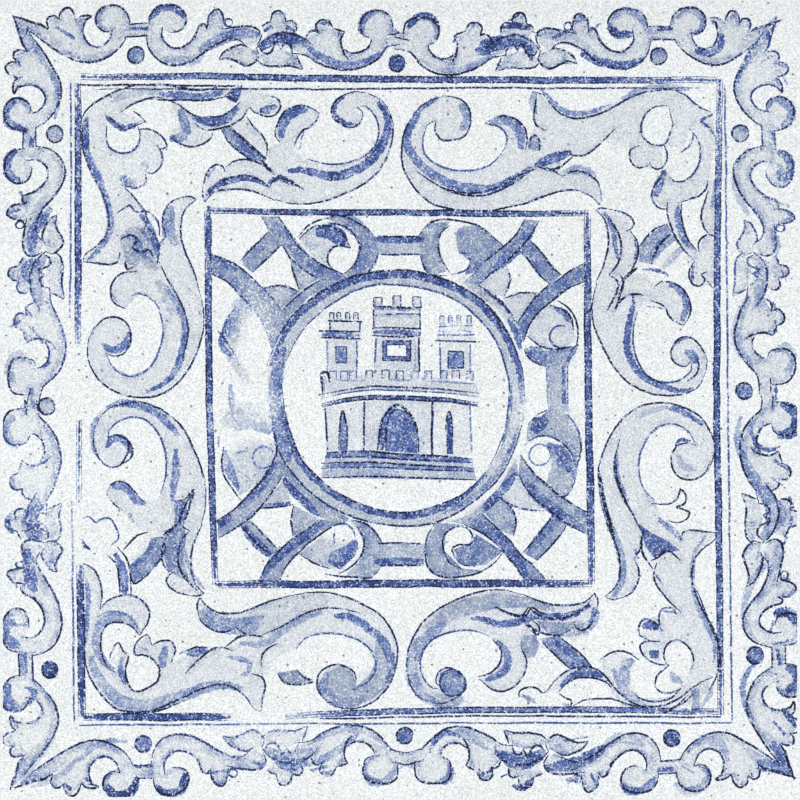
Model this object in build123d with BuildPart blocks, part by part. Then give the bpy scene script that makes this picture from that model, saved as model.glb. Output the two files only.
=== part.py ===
"""A square glazed porcelain tile, pressed and fired as one piece.

It lies face up on the ribs of its back. The origin is at the middle of the back, on the plane of
the rib tops. +Z points out of the glazed face, and +Y is the top of the picture on that face.
All sizes are in millimetres.
"""

from build123d import *
from math import atan, degrees
import os

# The face and the edges
tile_side = 450.0
tile_thickness = 10.0  # rib tops to glazed face
corner_radius = 1.5  # seen from above
arris_radius = 1.0  # the glaze rolls over this edge

# The edge that the press leaves: straight at the top, set back where the lower die lets go
straight_edge_height = 6.0
edge_setback = 0.9  # how much narrower the tile is at its back, on each side

# The keying lattice on the back, which the adhesive grips
border_land_min = 12.0  # unbroken land along the edge
cell_pitch = 23.5  # one rib to the next
rib_width = 3.0  # at the rib's top
rib_height = 1.0
rib_draft_angle = 30.0  # each side of a rib leans out so that the die lifts off
cell_corner_cut = 3.0  # the small web in the corner of each cell

# What follows from those sizes
drafted_edge_height = tile_thickness - straight_edge_height
edge_draft_angle = degrees(atan(edge_setback / drafted_edge_height))
back_side = tile_side - 2 * edge_setback
cell_mouth = cell_pitch - rib_width
lattice_room = back_side - 2 * border_land_min + rib_width
cells_across = 2 * int(lattice_room / cell_pitch / 2)  # even, so two ribs cross in the middle

with BuildPart() as porcelain_tile:
    # The slab, from the height where the edge starts to lean inwards
    with BuildSketch(Plane.XY.offset(drafted_edge_height)) as tile_outline:
        RectangleRounded(tile_side, tile_side, corner_radius)
    extrude(amount=straight_edge_height)
    extrude(tile_outline.sketch, amount=-drafted_edge_height, taper=edge_draft_angle)

    # The arris round the glazed face
    glazed_face = faces().sort_by(Axis.Z)[-1]
    fillet(glazed_face.edges(), radius=arris_radius)

    # The cells between the ribs, sunk into the back
    with BuildSketch(Plane.XY) as cell_mouths:
        with GridLocations(cell_pitch, cell_pitch, cells_across, cells_across):
            Rectangle(cell_mouth, cell_mouth)
        chamfer(cell_mouths.vertices(), length=cell_corner_cut)
    extrude(amount=rib_height, taper=rib_draft_angle, mode=Mode.SUBTRACT)

porcelain_tile.part.label = "porcelain_tile"

os.makedirs("parts", exist_ok=True)
export_step(porcelain_tile.part, "parts/porcelain_tile.step")

print("cells across the back:", cells_across)
print("border land:", round((back_side - cells_across * cell_pitch + rib_width) / 2, 2), "mm")
print("volume:", round(porcelain_tile.part.volume / 1000, 1), "cm3")
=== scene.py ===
import math
from functools import partial
import bpy
import bmesh
import numpy as np
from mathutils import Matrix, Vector
from mathutils.geometry import delaunay_2d_cdt
from mathutils.kdtree import KDTree


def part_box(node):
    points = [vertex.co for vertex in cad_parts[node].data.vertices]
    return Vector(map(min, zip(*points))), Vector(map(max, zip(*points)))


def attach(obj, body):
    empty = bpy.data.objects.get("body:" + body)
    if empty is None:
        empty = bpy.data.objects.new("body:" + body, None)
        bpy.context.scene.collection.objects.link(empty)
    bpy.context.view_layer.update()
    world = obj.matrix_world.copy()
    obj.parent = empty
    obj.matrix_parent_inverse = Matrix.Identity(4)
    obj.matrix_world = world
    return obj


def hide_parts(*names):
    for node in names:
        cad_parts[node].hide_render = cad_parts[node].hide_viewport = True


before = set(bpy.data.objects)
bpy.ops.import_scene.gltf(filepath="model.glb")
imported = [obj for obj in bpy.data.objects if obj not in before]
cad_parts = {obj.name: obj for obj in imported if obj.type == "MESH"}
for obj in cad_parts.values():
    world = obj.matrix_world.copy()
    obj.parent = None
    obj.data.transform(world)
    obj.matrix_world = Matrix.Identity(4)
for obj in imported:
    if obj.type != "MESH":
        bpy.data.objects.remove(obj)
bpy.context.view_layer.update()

tileLow, tileHigh = (np.array(end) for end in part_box("porcelain_tile"))

# The print is drawn on a board of 800 units a side, laid over the whole face: x to the right and
# y down, as in the picture on the tile. One unit is about 0.56 mm.
board = {
    "side": 800,
    "lineWidth": 2.65,        # board units, the brush's contour line
    "lineInk": 1.08,
    "tip": 0.5,               # how much of its width a stroke has left at its ends
    "ruledTip": 0.8,
    "swell": 1.6,             # how soon a stroke comes to its full width
    "shadeWidth": 8.0,        # the broad brush that shades one side of a form
    "shadeSpread": 1.3,
    "shadeInk": 0.9,
    "washes": {               # how much tint, and how much darker it is along the contours
        "scroll": (0.26, 0.45), "border": (0.45, 1.0), "strap": (0.8, 0.6), "castle": (0.335, 0.3),
    },
    "margin": 4.0,            # nothing is painted nearer to the edge
    "turnPerStep": 14,        # degrees that a stroke may turn between two of its points
    "longestStep": 16,
    "ruledStep": 14,
    "ringStep": 24,           # degrees between the points of a small ring
    "wobble": 0.9,            # how far the hand strays
    "wobbleSize": 26.0,
    "seed": 11,
    "grid": 10,               # points that carry the tones between the strokes
    "gridInset": 8,
    "cell": 4.0,              # the cells that tell which strokes lie near a place
    "sampleStep": 2,          # how far apart a contour's points are for measuring from it
    "farFromLine": 14.0,      # the tint beside a contour has faded out here
    "fillDepth": 3.0,         # how deep inside a stroke a filled place counts as
    "deepest": 20,
    "borderLine": 1.08,       # how much stronger the border's contours are
    "borderShade": 0.45,      # how much of their shading the eight halves of the border share
    "accentSpread": 1.15,     # how much wider and stronger the accents of each side are
    "accentInk": 1.12,
}
unitSize = (tileHigh[0] - tileLow[0]) / board["side"]

lineLayer, shadeLayer = 0, 1
strokes = []    # (layer, points, half widths, ink)
washes = []     # (points, tone, how much darker it is along the contours, how much blue fills it)


# Drawing
def pairs(numbers):
    return np.array(numbers, dtype=float).reshape(-1, 2)


def catmullRom(points):
    # A smooth curve through the points, with more steps where it turns more
    if len(points) < 3:
        return points
    before = 2 * points[0] - points[1]
    after = 2 * points[-1] - points[-2]
    chain = np.vstack([before, points, after])
    out = [points[0]]
    for p0, p1, p2, p3 in zip(chain, chain[1:], chain[2:], chain[3:]):
        turnIn = angleBetween(p1 - p0, p2 - p1)
        turnOut = angleBetween(p2 - p1, p3 - p2)
        steps = max(1, math.ceil((turnIn + turnOut) / 2 / board["turnPerStep"]),
                    math.ceil(np.linalg.norm(p2 - p1) / board["longestStep"]))
        t01, t12, t23 = (max(1e-6, np.linalg.norm(b - a) ** 0.5) for a, b in ((p0, p1), (p1, p2), (p2, p3)))
        m1 = p2 - p1 + t12 * ((p1 - p0) / t01 - (p2 - p0) / (t01 + t12))
        m2 = p2 - p1 + t12 * ((p3 - p2) / t23 - (p3 - p1) / (t12 + t23))
        for step in range(1, steps + 1):
            t = step / steps
            out.append((2 * t**3 - 3 * t**2 + 1) * p1 + (t**3 - 2 * t**2 + t) * m1
                       + (3 * t**2 - 2 * t**3) * p2 + (t**3 - t**2) * m2)
    return np.array(out)


def angleBetween(a, b):
    lengths = np.linalg.norm(a) * np.linalg.norm(b)
    return math.degrees(math.acos(max(-1, min(1, float(a @ b) / lengths)))) if lengths else 0


def addStroke(layer, points, width, ink, taper):
    points = points[np.r_[True, np.linalg.norm(np.diff(points, axis=0), axis=1) > 0.05]]
    if len(points) < 2:
        return
    run = np.r_[0, np.cumsum(np.linalg.norm(np.diff(points, axis=0), axis=1))]
    fromEnd = np.minimum(run, run[-1] - run) / max(run[-1], 1e-6) * 2
    pressure = taper + (1 - taper) * np.sin(np.clip(fromEnd * board["swell"], 0, 1) * math.pi / 2)
    strokes.append((layer, points, width / 2 * pressure, ink))


def split(points):
    # A point given twice is a sharp corner, where the brush starts again
    start = 0
    for i in range(1, len(points)):
        if np.array_equal(points[i], points[i - 1]):
            yield points[start:i]
            start = i
    yield points[start:]


def pen(put, *numbers, w=1.0, ink=1.0):
    for run in split(pairs(numbers)):
        curve = catmullRom(put(run))
        addStroke(lineLayer, curve, board["lineWidth"] * w, board["lineInk"] * ink, board["tip"])


def ruled(put, *numbers, w=1.0, ink=1.0):
    # Straight runs between corners, each its own stroke
    points = put(pairs(numbers))
    for a, b in zip(points, points[1:]):
        steps = max(1, round(np.linalg.norm(b - a) / board["ruledStep"]))
        run = np.linspace(a, b, steps + 1)
        addStroke(lineLayer, run, board["lineWidth"] * w, board["lineInk"] * ink, board["ruledTip"])


def shade(put, *numbers, w=None, ink=1.0):
    width = (w or board["shadeWidth"]) * board["shadeSpread"]
    addStroke(shadeLayer, catmullRom(put(pairs(numbers))), width, board["shadeInk"] * ink, board["tip"])


def wash(put, *numbers, kind="scroll", tone=1.0, fill=0.0):
    # fill is how much blue it is brushed over with
    points = np.clip(put(pairs(numbers)), board["margin"], board["side"] - board["margin"])
    tint, edge = board["washes"][kind]
    washes.append((points, tint * tone, edge, fill))


def ringPoints(x, y, radius, start=0, end=360):
    steps = max(6, round(abs(end - start) / board["ringStep"]))
    angles = np.radians(np.linspace(start, end, steps + 1))
    return np.column_stack([x + radius * np.cos(angles), y + radius * np.sin(angles)]).ravel()


# Placing: the ornament is drawn once for a corner, u along one side and v along the next
def corner(turn):
    side = board["side"]

    def put(points):
        u, v = points[:, 0], points[:, 1]
        x, y = ((u, v), (side - v, u), (side - u, side - v), (v, side - u))[turn]
        return np.column_stack([x, y])
    return put


def mirrored(put):
    return lambda points: put(points[:, ::-1])


def bent(put, anchors):
    # Shifts the drawing by (along, across) at some places along the side, and in between
    at, along, across = np.array(anchors, dtype=float).T

    def bentPut(points):
        s, t = points[:, 0], points[:, 1]
        return put(np.column_stack([s + np.interp(s, at, along), t + np.interp(s, at, across)]))
    return bentPut


def asDrawn(points):
    return points


# What is drawn straight in its place, in board units
linePen = partial(pen, asDrawn)
rulePen = partial(ruled, asDrawn)
shadePen = partial(shade, asDrawn)
scrollTint = partial(wash, asDrawn)
strapTint = partial(wash, asDrawn, kind="strap")
castleTint = partial(wash, asDrawn, kind="castle")


# The scrolling border, half of one side
borderBends = {   # at the tip, volute 1, volute 2, lobes, arch, lobes, volute 3, middle
    (0, "a"): [(15, 0, 0), (115, 0, 0), (168, 0, 0), (376, 0, 0), (400, 0, 0)],
    (0, "b"): [(15, 3, -3), (115, 2, -1), (168, -2, 0), (215, -4, -3), (285, -5, -3), (325, -1, -6),
               (376, -4, -2), (400, 5, -6)],
    (1, "a"): [(15, 6, 8), (115, 0, 1), (168, 0, 2), (215, 2, -4), (285, -8, 0), (325, -6, -4),
               (376, -14, -6), (400, -6, -4)],
    (1, "b"): [(15, 5, 4), (115, -3, 2), (168, 6, 4), (215, 4, 4), (285, 2, 2), (325, 2, 3), (376, 0, 7),
               (400, 5, 4)],
    (2, "a"): [(15, -8, 6), (115, -6, 4), (168, -8, 2), (215, -6, -2), (285, -4, 2), (325, -9, 0),
               (376, -13, 6), (400, -5, 2)],
    (2, "b"): [(15, 8, -10), (115, 7, -9), (168, 5, -8), (215, -6, -6), (285, 4, -12), (325, 4, -10),
               (376, 4, -10), (400, 5, -6)],
    (3, "a"): [(15, -2, -6), (115, -9, -4), (168, 2, -4), (215, 10, -2), (285, -5, -6), (325, -6, -10),
               (376, -6, -8), (400, 0, -8)],
    (3, "b"): [(15, 2, -4), (115, 8, -3), (168, 2, 0), (215, 4, 4), (285, 6, 4), (325, 4, 4), (376, 2, 6),
               (400, 6, 2)],
}


def borderHalf(put, tone):
    def soft(*numbers, w=None, ink=1.0):
        shade(put, *numbers, w=w, ink=ink * board["borderShade"])

    def fill(*numbers):
        wash(put, *numbers, kind="border", tone=tone)

    def line(*numbers, w=1.0, ink=1.0):
        pen(put, *numbers, w=w * board["borderLine"], ink=ink * board["borderLine"])

    # corner leaf
    line(13,17, 22,20, 33,24, 42,26, 50,31, w=1.2)
    line(27,30, 40,39, 52,48, 62,54, 75,61, 90,64, 105,60, 117,52, 124,44, 127,38)
    soft(20,21, 34,28, 48,36, 62,47, w=9, ink=0.6)
    soft(64,51, 76,57, 90,59, 104,56, 114,50, w=6, ink=0.6)
    fill(13,17, 33,23, 50,31, 66,46, 90,55, 112,47, 124,42, 117,52, 105,60, 90,64, 62,54, 27,30)
    # three lobes
    line(50,30, 48,24, 50,18, 56,17, 60,21, 60,21, 61,14, 66,9, 71,10, 75,16, 77,22)
    line(77,22, 80,18, 88,16, 92,17, 86,21, 84,27)
    fill(50,30, 50,18, 60,19, 66,9, 76,20, 90,17, 84,28, 85,38, 91,46, 100,49, 108,46, 113,37, 103,31,
         98,24, 99,14, 106,8, 120,7, 129,14, 132,26, 131,36, 124,45, 115,53, 103,60, 90,62, 66,48)
    # first volute
    line(113,31, 107,33, 101,30, 97,22, 98,14, 104,8, 113,6, 122,8, 128,14, 131,22, 131,27)
    line(113,31, 111,38, 106,45, 98,48, 90,45, 85,38, 84,29, 87,22, ink=0.8)
    soft(106,9, 100,15, 99,22, 102,28, 108,31, w=6)
    ruled(put, 131,25, 149,24)
    ruled(put, 126,38, 148,37)
    soft(129,30, 150,30, w=9, ink=0.6)
    fill(130,25, 150,24, 150,38, 127,38)
    # second volute
    line(150,26, 151,17, 157,9, 167,6, 178,8, 185,14, 187,21, 184,29, 178,33, 171,34)
    line(163,27, 162,35, 165,43, 172,49, 181,49, 190,44, 196,36, 199,28, ink=0.9)
    line(147,38, 149,47, 153,55, 160,62, 170,66, 180,66, 192,62, 202,56, 212,48, 224,42, 234,40, 242,43,
         248,49)
    soft(153,19, 159,12, 168,9, 178,12, 183,19, w=6, ink=0.8)
    soft(155,52, 164,60, 178,62, 192,57, w=5, ink=0.5)
    fill(150,26, 152,16, 160,8, 170,6, 182,11, 187,22, 180,33, 170,34, 163,30, 162,36, 166,44, 174,49,
         184,48, 194,40, 199,28, 204,25, 208,26, 209,17, 214,12, 220,12, 224,22, 224,30, 240,28, 254,28,
         260,32, 258,42, 250,48, 240,42, 226,42, 212,48, 202,56, 190,63, 176,66, 162,62, 152,54, 147,38)
    # lobes between the scrolls
    line(190,44, 196,38, 200,27, 205,25, 208,30, 208,30, 209,18, 214,12, 219,11, 223,17, 225,29)
    line(*ringPoints(229, 24, 4), ink=0.8)
    line(222,31, 238,28, 252,27, 259,31, 261,38, 257,46)
    soft(198,51, 215,42, 230,36, 245,33, 256,35, w=9, ink=0.65)
    soft(211,18, 217,14, 222,22, w=4, ink=0.8)
    # leaf below
    line(219,61, 223,54, 232,49, 242,46, 249,49)
    line(219,61, 228,59, 238,63, 247,67, 255,63, 259,57, 257,50)
    fill(219,61, 224,53, 240,46, 250,49, 257,52, 258,60, 248,67, 236,62)
    # arch of the next scroll
    line(256,50, 262,43, 271,37, 283,34, 296,36, 306,41, 313,47)
    soft(260,50, 270,42, 284,39, 298,42, 309,47, w=11)
    line(260,49, 264,54, 270,54, 274,48, 276,44)
    line(272,46, 277,43, 281,50, 281,50, 285,44, 291,47, 293,54, ink=0.8)
    line(257,59, 263,65, 276,67, 290,66, 302,70, ink=0.9)
    line(297,56, 300,63, 303,70)
    fill(258,58, 268,52, 280,50, 292,54, 300,62, 302,69, 285,66, 265,65)
    # flower above
    line(262,27, 267,24, 271,23, 271,23, 273,15, 279,12, 285,16, 286,23, 286,23, 293,22, 297,26, 297,32)
    soft(271,28, 280,25, 291,28, w=7, ink=0.6)
    fill(262,27, 270,22, 274,14, 284,14, 288,22, 297,26, 296,34, 284,33, 270,36)
    # third scroll
    line(292,54, 306,56, 316,63, 327,68, 342,71, 357,70, 370,65, 380,57, 387,48, 400,46)
    soft(306,53, 318,60, 335,66, 352,66, 368,61, 380,53, w=6, ink=0.75)
    line(306,40, 309,34, 314,32, 318,34, 318,34, 316,26, 321,21, 329,22, 333,29, 333,29, 340,31, 345,33)
    line(345,33, 341,40, 342,49, 345,56, 349,60)
    soft(318,25, 325,23, 331,26, w=4)
    soft(334,31, 339,38, w=5, ink=0.7)
    line(344,50, 351,54, 359,54, 366,51, 371,45, 372,40)
    line(370,39, 364,37, 361,30, 361,22, 366,15, 375,12, 384,13, 391,19, 393,28, 393,34)
    soft(364,35, 363,25, 368,17, 378,14, w=5, ink=0.8)
    ruled(put, 388,36, 400,34)
    soft(390,40, 402,40, w=6, ink=0.4)
    fill(262,44, 275,36, 290,35, 306,40, 316,33, 318,24, 330,22, 334,30, 345,33, 341,42, 345,52, 356,55,
         368,50, 373,41, 364,38, 360,28, 364,16, 376,12, 388,16, 393,28, 402,34, 402,46, 388,48, 378,58,
         362,68, 342,70, 322,66, 306,57, 292,50, 280,46, 266,50)


borderTones = {   # how much of the wash is left
    (0, "a"): 0.75, (1, "b"): 0.75, (1, "a"): 0.7, (2, "b"): 0.6,
    (2, "a"): 0.5, (3, "b"): 0.5, (3, "a"): 0.35, (0, "b"): 0.6,
}


borderAccents = [    # one list a side: width, ink, then along and across at each point
    [
        (5, 0.8, 132, 29, 149, 30), (6, 0.7, 150, 20, 160, 10, 176, 10, 185, 20),
        (8, 0.35, 166, 60, 192, 62, 204, 56), (8, 0.6, 200, 52, 224, 40, 248, 34, 260, 36),
        (6, 0.8, 264, 32, 272, 27), (6, 0.8, 286, 28, 296, 32),
        (8, 0.8, 260, 50, 272, 41, 288, 38, 306, 44),
        (6, 0.7, 304, 45, 316, 54, 342, 66, 368, 62, 380, 54), (4, 0.4, 266, 50, 280, 44),
        (5, 0.8, 312, 33, 318, 30), (5, 0.8, 322, 25, 332, 25), (5, 0.8, 338, 33, 343, 38),
        (6, 0.6, 362, 36, 362, 22, 372, 16), (6, 0.85, 408, 30, 416, 19, 430, 18, 438, 26),
        (4, 0.3, 424, 38, 436, 40), (5, 0.7, 454, 44, 458, 34), (5, 0.7, 468, 34, 476, 24),
        (6, 0.7, 480, 44, 492, 38), (11, 0.8, 476, 54, 492, 45, 512, 41),
        (6, 0.9, 510, 42, 527, 48, 531, 62), (5, 1.1, 500, 29, 514, 26, 530, 30),
        (4, 1.0, 532, 32, 541, 38), (4, 0.9, 508, 22, 520, 16), (5, 0.7, 552, 40, 568, 32),
        (4, 0.6, 576, 24, 588, 18), (5, 0.7, 588, 34, 600, 24),
        (7, 0.75, 580, 54, 600, 63, 624, 67, 642, 60), (7, 0.95, 608, 28, 618, 36, 632, 35),
        (6, 0.4, 612, 22, 624, 12, 640, 18, 645, 32), (6, 0.9, 656, 30, 672, 29),
        (5, 0.35, 676, 20, 688, 10, 702, 20), (6, 0.85, 694, 51, 708, 54, 720, 46, 720, 34),
        (5, 0.6, 736, 80, 748, 60, 760, 44), (6, 0.8, 760, 64, 772, 56),
    ],
    [
        (5, 0.6, 32, 32, 52, 40), (4, 0.5, 18, 24, 24, 32), (6, 0.8, 72, 60, 84, 64),
        (5, 0.6, 64, 28, 68, 16), (4, 0.6, 74, 20, 86, 14), (7, 0.6, 102, 24, 106, 12, 120, 10, 127, 20),
        (4, 0.6, 102, 28, 112, 34), (6, 0.7, 132, 28, 144, 26),
        (7, 0.7, 152, 24, 160, 12, 174, 12, 180, 24), (4, 0.6, 164, 24, 170, 20, 176, 28),
        (6, 0.3, 148, 52, 168, 64, 192, 64, 216, 52), (5, 0.5, 200, 28, 208, 12),
        (5, 0.5, 218, 12, 226, 26), (6, 0.5, 228, 28, 248, 24, 260, 28),
        (6, 0.45, 260, 36, 280, 40, 296, 36), (4, 0.5, 270, 20, 282, 14), (4, 0.4, 256, 52, 280, 54),
        (5, 0.7, 302, 28, 312, 24), (4, 0.7, 320, 26, 332, 24),
        (6, 0.35, 296, 52, 320, 64, 344, 66, 360, 58), (6, 0.35, 346, 24, 348, 12, 360, 8, 372, 16),
        (6, 0.9, 384, 26, 400, 24), (9, 0.9, 404, 20, 410, 8, 420, 4, 432, 8, 436, 24),
        (4, 0.7, 446, 20, 450, 32, 442, 46, 424, 50),
        (6, 0.5, 416, 60, 440, 64, 460, 56, 480, 44, 504, 34, 524, 34), (5, 0.7, 460, 28, 472, 8),
        (5, 0.6, 476, 32, 486, 18), (6, 0.8, 496, 12, 508, 8), (6, 0.7, 516, 8, 528, 12),
        (5, 0.7, 536, 14, 548, 20), (6, 0.5, 500, 24, 516, 18, 532, 28), (5, 0.4, 540, 40, 560, 44),
        (6, 0.4, 560, 32, 580, 48, 600, 56, 624, 58), (5, 0.6, 576, 20, 580, 10),
        (8, 0.85, 614, 28, 612, 12, 624, 5), (5, 0.8, 620, 28, 632, 30), (5, 0.7, 640, 12, 644, 28),
        (6, 0.9, 648, 24, 664, 22), (8, 0.9, 666, 16, 672, 5, 684, 4, 690, 16),
        (5, 0.6, 660, 44, 680, 58, 704, 56, 720, 48), (6, 0.85, 708, 20, 716, 12, 726, 5),
        (5, 0.7, 720, 28, 734, 16), (5, 0.7, 740, 28, 756, 20, 772, 12), (5, 0.7, 772, 20, 768, 44),
    ],
    [
        (7, 0.55, 12, 28, 32, 36, 44, 40), (4, 0.8, 16, 40, 32, 56),
        (7, 0.4, 72, 40, 80, 56, 100, 60, 114, 50), (4, 0.8, 48, 24, 52, 32), (4, 0.7, 64, 14, 62, 28),
        (4, 0.7, 74, 32, 80, 28), (7, 0.35, 94, 24, 100, 14, 116, 10, 126, 18),
        (4, 0.5, 106, 28, 120, 36), (7, 0.75, 128, 32, 144, 30),
        (6, 0.7, 146, 24, 156, 12, 172, 10, 180, 18), (8, 0.35, 156, 56, 180, 64, 200, 52),
        (9, 0.8, 196, 54, 212, 44, 232, 36, 254, 33), (6, 0.8, 204, 16, 210, 28),
        (9, 0.6, 222, 24, 234, 20), (4, 0.6, 212, 64, 236, 60), (5, 0.9, 268, 24, 276, 14, 288, 16),
        (4, 0.9, 292, 27, 300, 24), (9, 0.7, 258, 44, 272, 38, 290, 39, 300, 48),
        (6, 0.95, 298, 40, 306, 54), (5, 0.7, 308, 32, 314, 28), (5, 0.8, 316, 26, 322, 32),
        (6, 0.45, 312, 52, 332, 64, 348, 68), (4, 0.85, 340, 64, 356, 68, 368, 56, 370, 48),
        (6, 0.55, 348, 34, 352, 22, 362, 18), (6, 0.45, 404, 36, 410, 24, 424, 18, 436, 24),
        (4, 0.4, 420, 46, 430, 44), (6, 0.5, 440, 68, 460, 52, 480, 40, 496, 36),
        (6, 0.6, 472, 34, 488, 30), (9, 0.75, 492, 42, 508, 36, 519, 40, 524, 52),
        (5, 0.6, 536, 36, 548, 40), (5, 0.65, 564, 32, 592, 28),
        (7, 0.85, 614, 28, 618, 12, 632, 7, 642, 14), (5, 0.4, 624, 50, 632, 44),
        (6, 0.9, 646, 36, 664, 34), (7, 0.9, 662, 24, 668, 9, 684, 6, 692, 16),
        (5, 0.5, 672, 60, 688, 60, 708, 52, 720, 40), (6, 0.8, 708, 16, 714, 24),
        (7, 0.8, 728, 12, 736, 18), (5, 0.35, 720, 44, 740, 24, 768, 14),
    ],
    [
        (7, 0.3, 16, 22, 40, 36, 64, 52, 88, 58), (5, 0.5, 48, 24, 60, 20), (5, 0.4, 72, 20, 80, 14),
        (9, 0.6, 94, 20, 98, 10, 110, 6, 118, 9), (5, 0.7, 96, 28, 108, 36, 114, 26),
        (5, 0.6, 128, 28, 148, 26), (8, 0.6, 154, 22, 160, 10, 172, 6, 180, 16),
        (6, 0.5, 176, 12, 176, 28), (9, 0.7, 208, 36, 228, 30, 252, 28), (4, 0.8, 212, 18, 228, 16),
        (5, 0.85, 266, 16, 276, 8, 288, 12), (10, 0.75, 260, 38, 272, 30, 288, 32, 296, 44),
        (7, 0.4, 352, 20, 360, 10, 376, 8, 384, 16), (7, 0.45, 390, 36, 412, 32),
        (7, 0.4, 416, 16, 428, 10, 444, 16, 446, 28), (6, 0.85, 432, 44, 438, 52),
        (6, 0.8, 456, 44, 472, 32), (6, 0.9, 472, 10, 478, 22), (5, 0.7, 482, 34, 492, 26),
        (8, 0.7, 516, 32, 532, 28, 540, 40), (4, 0.3, 520, 12, 530, 16),
        (8, 0.7, 544, 34, 566, 34, 580, 44, 592, 52), (6, 0.85, 588, 10, 590, 22),
        (5, 0.7, 596, 28, 608, 20), (7, 0.75, 618, 22, 624, 10, 640, 8, 650, 18),
        (8, 0.95, 652, 32, 662, 34), (7, 0.8, 668, 28, 676, 9, 688, 6, 698, 16),
        (4, 0.5, 680, 56, 704, 60, 732, 48, 752, 32), (5, 0.9, 720, 16, 722, 24),
        (5, 0.7, 732, 22, 740, 18), (6, 0.7, 760, 76, 772, 56),
    ],
]


def drawBorder():
    for turn, accents in enumerate(borderAccents):
        borderHalf(bent(corner(turn), borderBends[turn, "a"]), borderTones[turn, "a"])
        borderHalf(bent(mirrored(corner(turn)), borderBends[turn, "b"]), borderTones[turn, "b"])
        for width, ink, *along in accents:
            shade(corner(turn), *along, w=width * board["accentSpread"], ink=ink * board["accentInk"])


borderDots = [    # x, y, how much of the dot is filled
    (137, 56, 0.4), (397, 64, 0.95), (658, 57, 0.45), (739, 134, 0.25), (743, 391, 0.6), (754, 655, 0.85),
    (671, 737, 0.85), (405, 735, 0.55), (144, 743, 0.7), (51, 669, 1.1), (48, 407, 0.25), (56, 135, 0.3),
]


def drawDots():
    for x, y, fill in borderDots:
        linePen(*ringPoints(x, y, 8.2), w=1.1)
        wash(asDrawn, *ringPoints(x, y, 8)[:-2], kind="border", fill=fill)


# The two frames
def drawFrames():
    def bar(*points, w, ink=1.0, edge=1.0):
        # A broad stroke between two thin lines
        points = pairs(points)
        along = np.diff(points, axis=0)
        along = np.vstack([along, along[-1]])
        across = np.column_stack([-along[:, 1], along[:, 0]]) / np.linalg.norm(along, axis=1)[:, None]
        shadePen(*points.ravel(), w=w, ink=ink)
        for side in (-1, 1):
            linePen(*(points + across * side * w / 2).ravel(), w=0.8, ink=edge)

    # outer frame: top, right, bottom, left
    bar(82,78, 140,78, 200,77, 300,79, 400,80, 500,81, 600,81, 716,81, w=5.5)
    bar(719,80, 717,200, 716,300, 716,400, 717,480, 719,600, 720,714, w=5.5)
    bar(84,716, 150,716, 232,716, w=6.5, ink=1.15)
    bar(286,716, 350,712, 420,710, 520,709, 620,709, 718,711, w=5, ink=0.85)
    bar(79,84, 79,200, 79,345, w=5.5)
    bar(80,420, 80,500, w=5)
    bar(81,565, 82,640, 83,716, w=6.5, ink=1.15)
    rulePen(80,86, 150,86, 240,87)
    linePen(96,90, 200,90, 300,90, 400,89, 520,89, 700,89, ink=0.9)
    rulePen(72,80, 72,200, 71,318, ink=0.7)
    rulePen(73,500, 75,720, ink=0.7)
    rulePen(80,724, 300,723, 480,722, 731,722, ink=0.7)
    rulePen(320,718, 400,716, 500,715, 720,716, ink=0.9)
    rulePen(724,86, 725,200, 727,400, 729,560, 731,720, ink=0.7)
    # inner frame
    bar(208,211, 300,213, 400,213, 500,214, 588,214, w=5, edge=1.1)
    bar(587,214, 587,300, 588,400, 590,500, 591,584, w=6, edge=1.1)
    bar(216,584, 300,584, 400,583, 500,583, 592,583, w=6.5, ink=1.12)
    shadePen(209,206, 209,235, 209,262, w=6)
    bar(208,211, 209,300, 210,400, 213,500, 216,584, w=5.5, edge=1.1)


# The band of large scrolls between the frames, one arm each way from the corner
armBendsA = {
    0: [(80, 0, 0), (400, 0, 0)],
    1: [(80, 4, 4), (200, 6, 2), (310, 6, 4), (400, 3, 0)],
    2: [(80, 0, 4), (200, 0, 5), (310, 4, 6), (400, 0, 4)],
    3: [(80, 4, 0), (200, 2, 2), (310, 0, 2), (400, 5, 2)],
}
armBendsB = {
    0: [(80, 0, 0), (400, 0, 0)],
    1: [(80, 0, 6), (250, 2, 10), (310, 0, 6), (400, 0, 4)],
    2: [(80, 0, -4), (250, 6, 0), (310, 4, -2), (400, -1, -2)],
    3: [(80, 2, 6), (250, 0, 6), (310, 0, 4), (400, 0, 4)],
}


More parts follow.
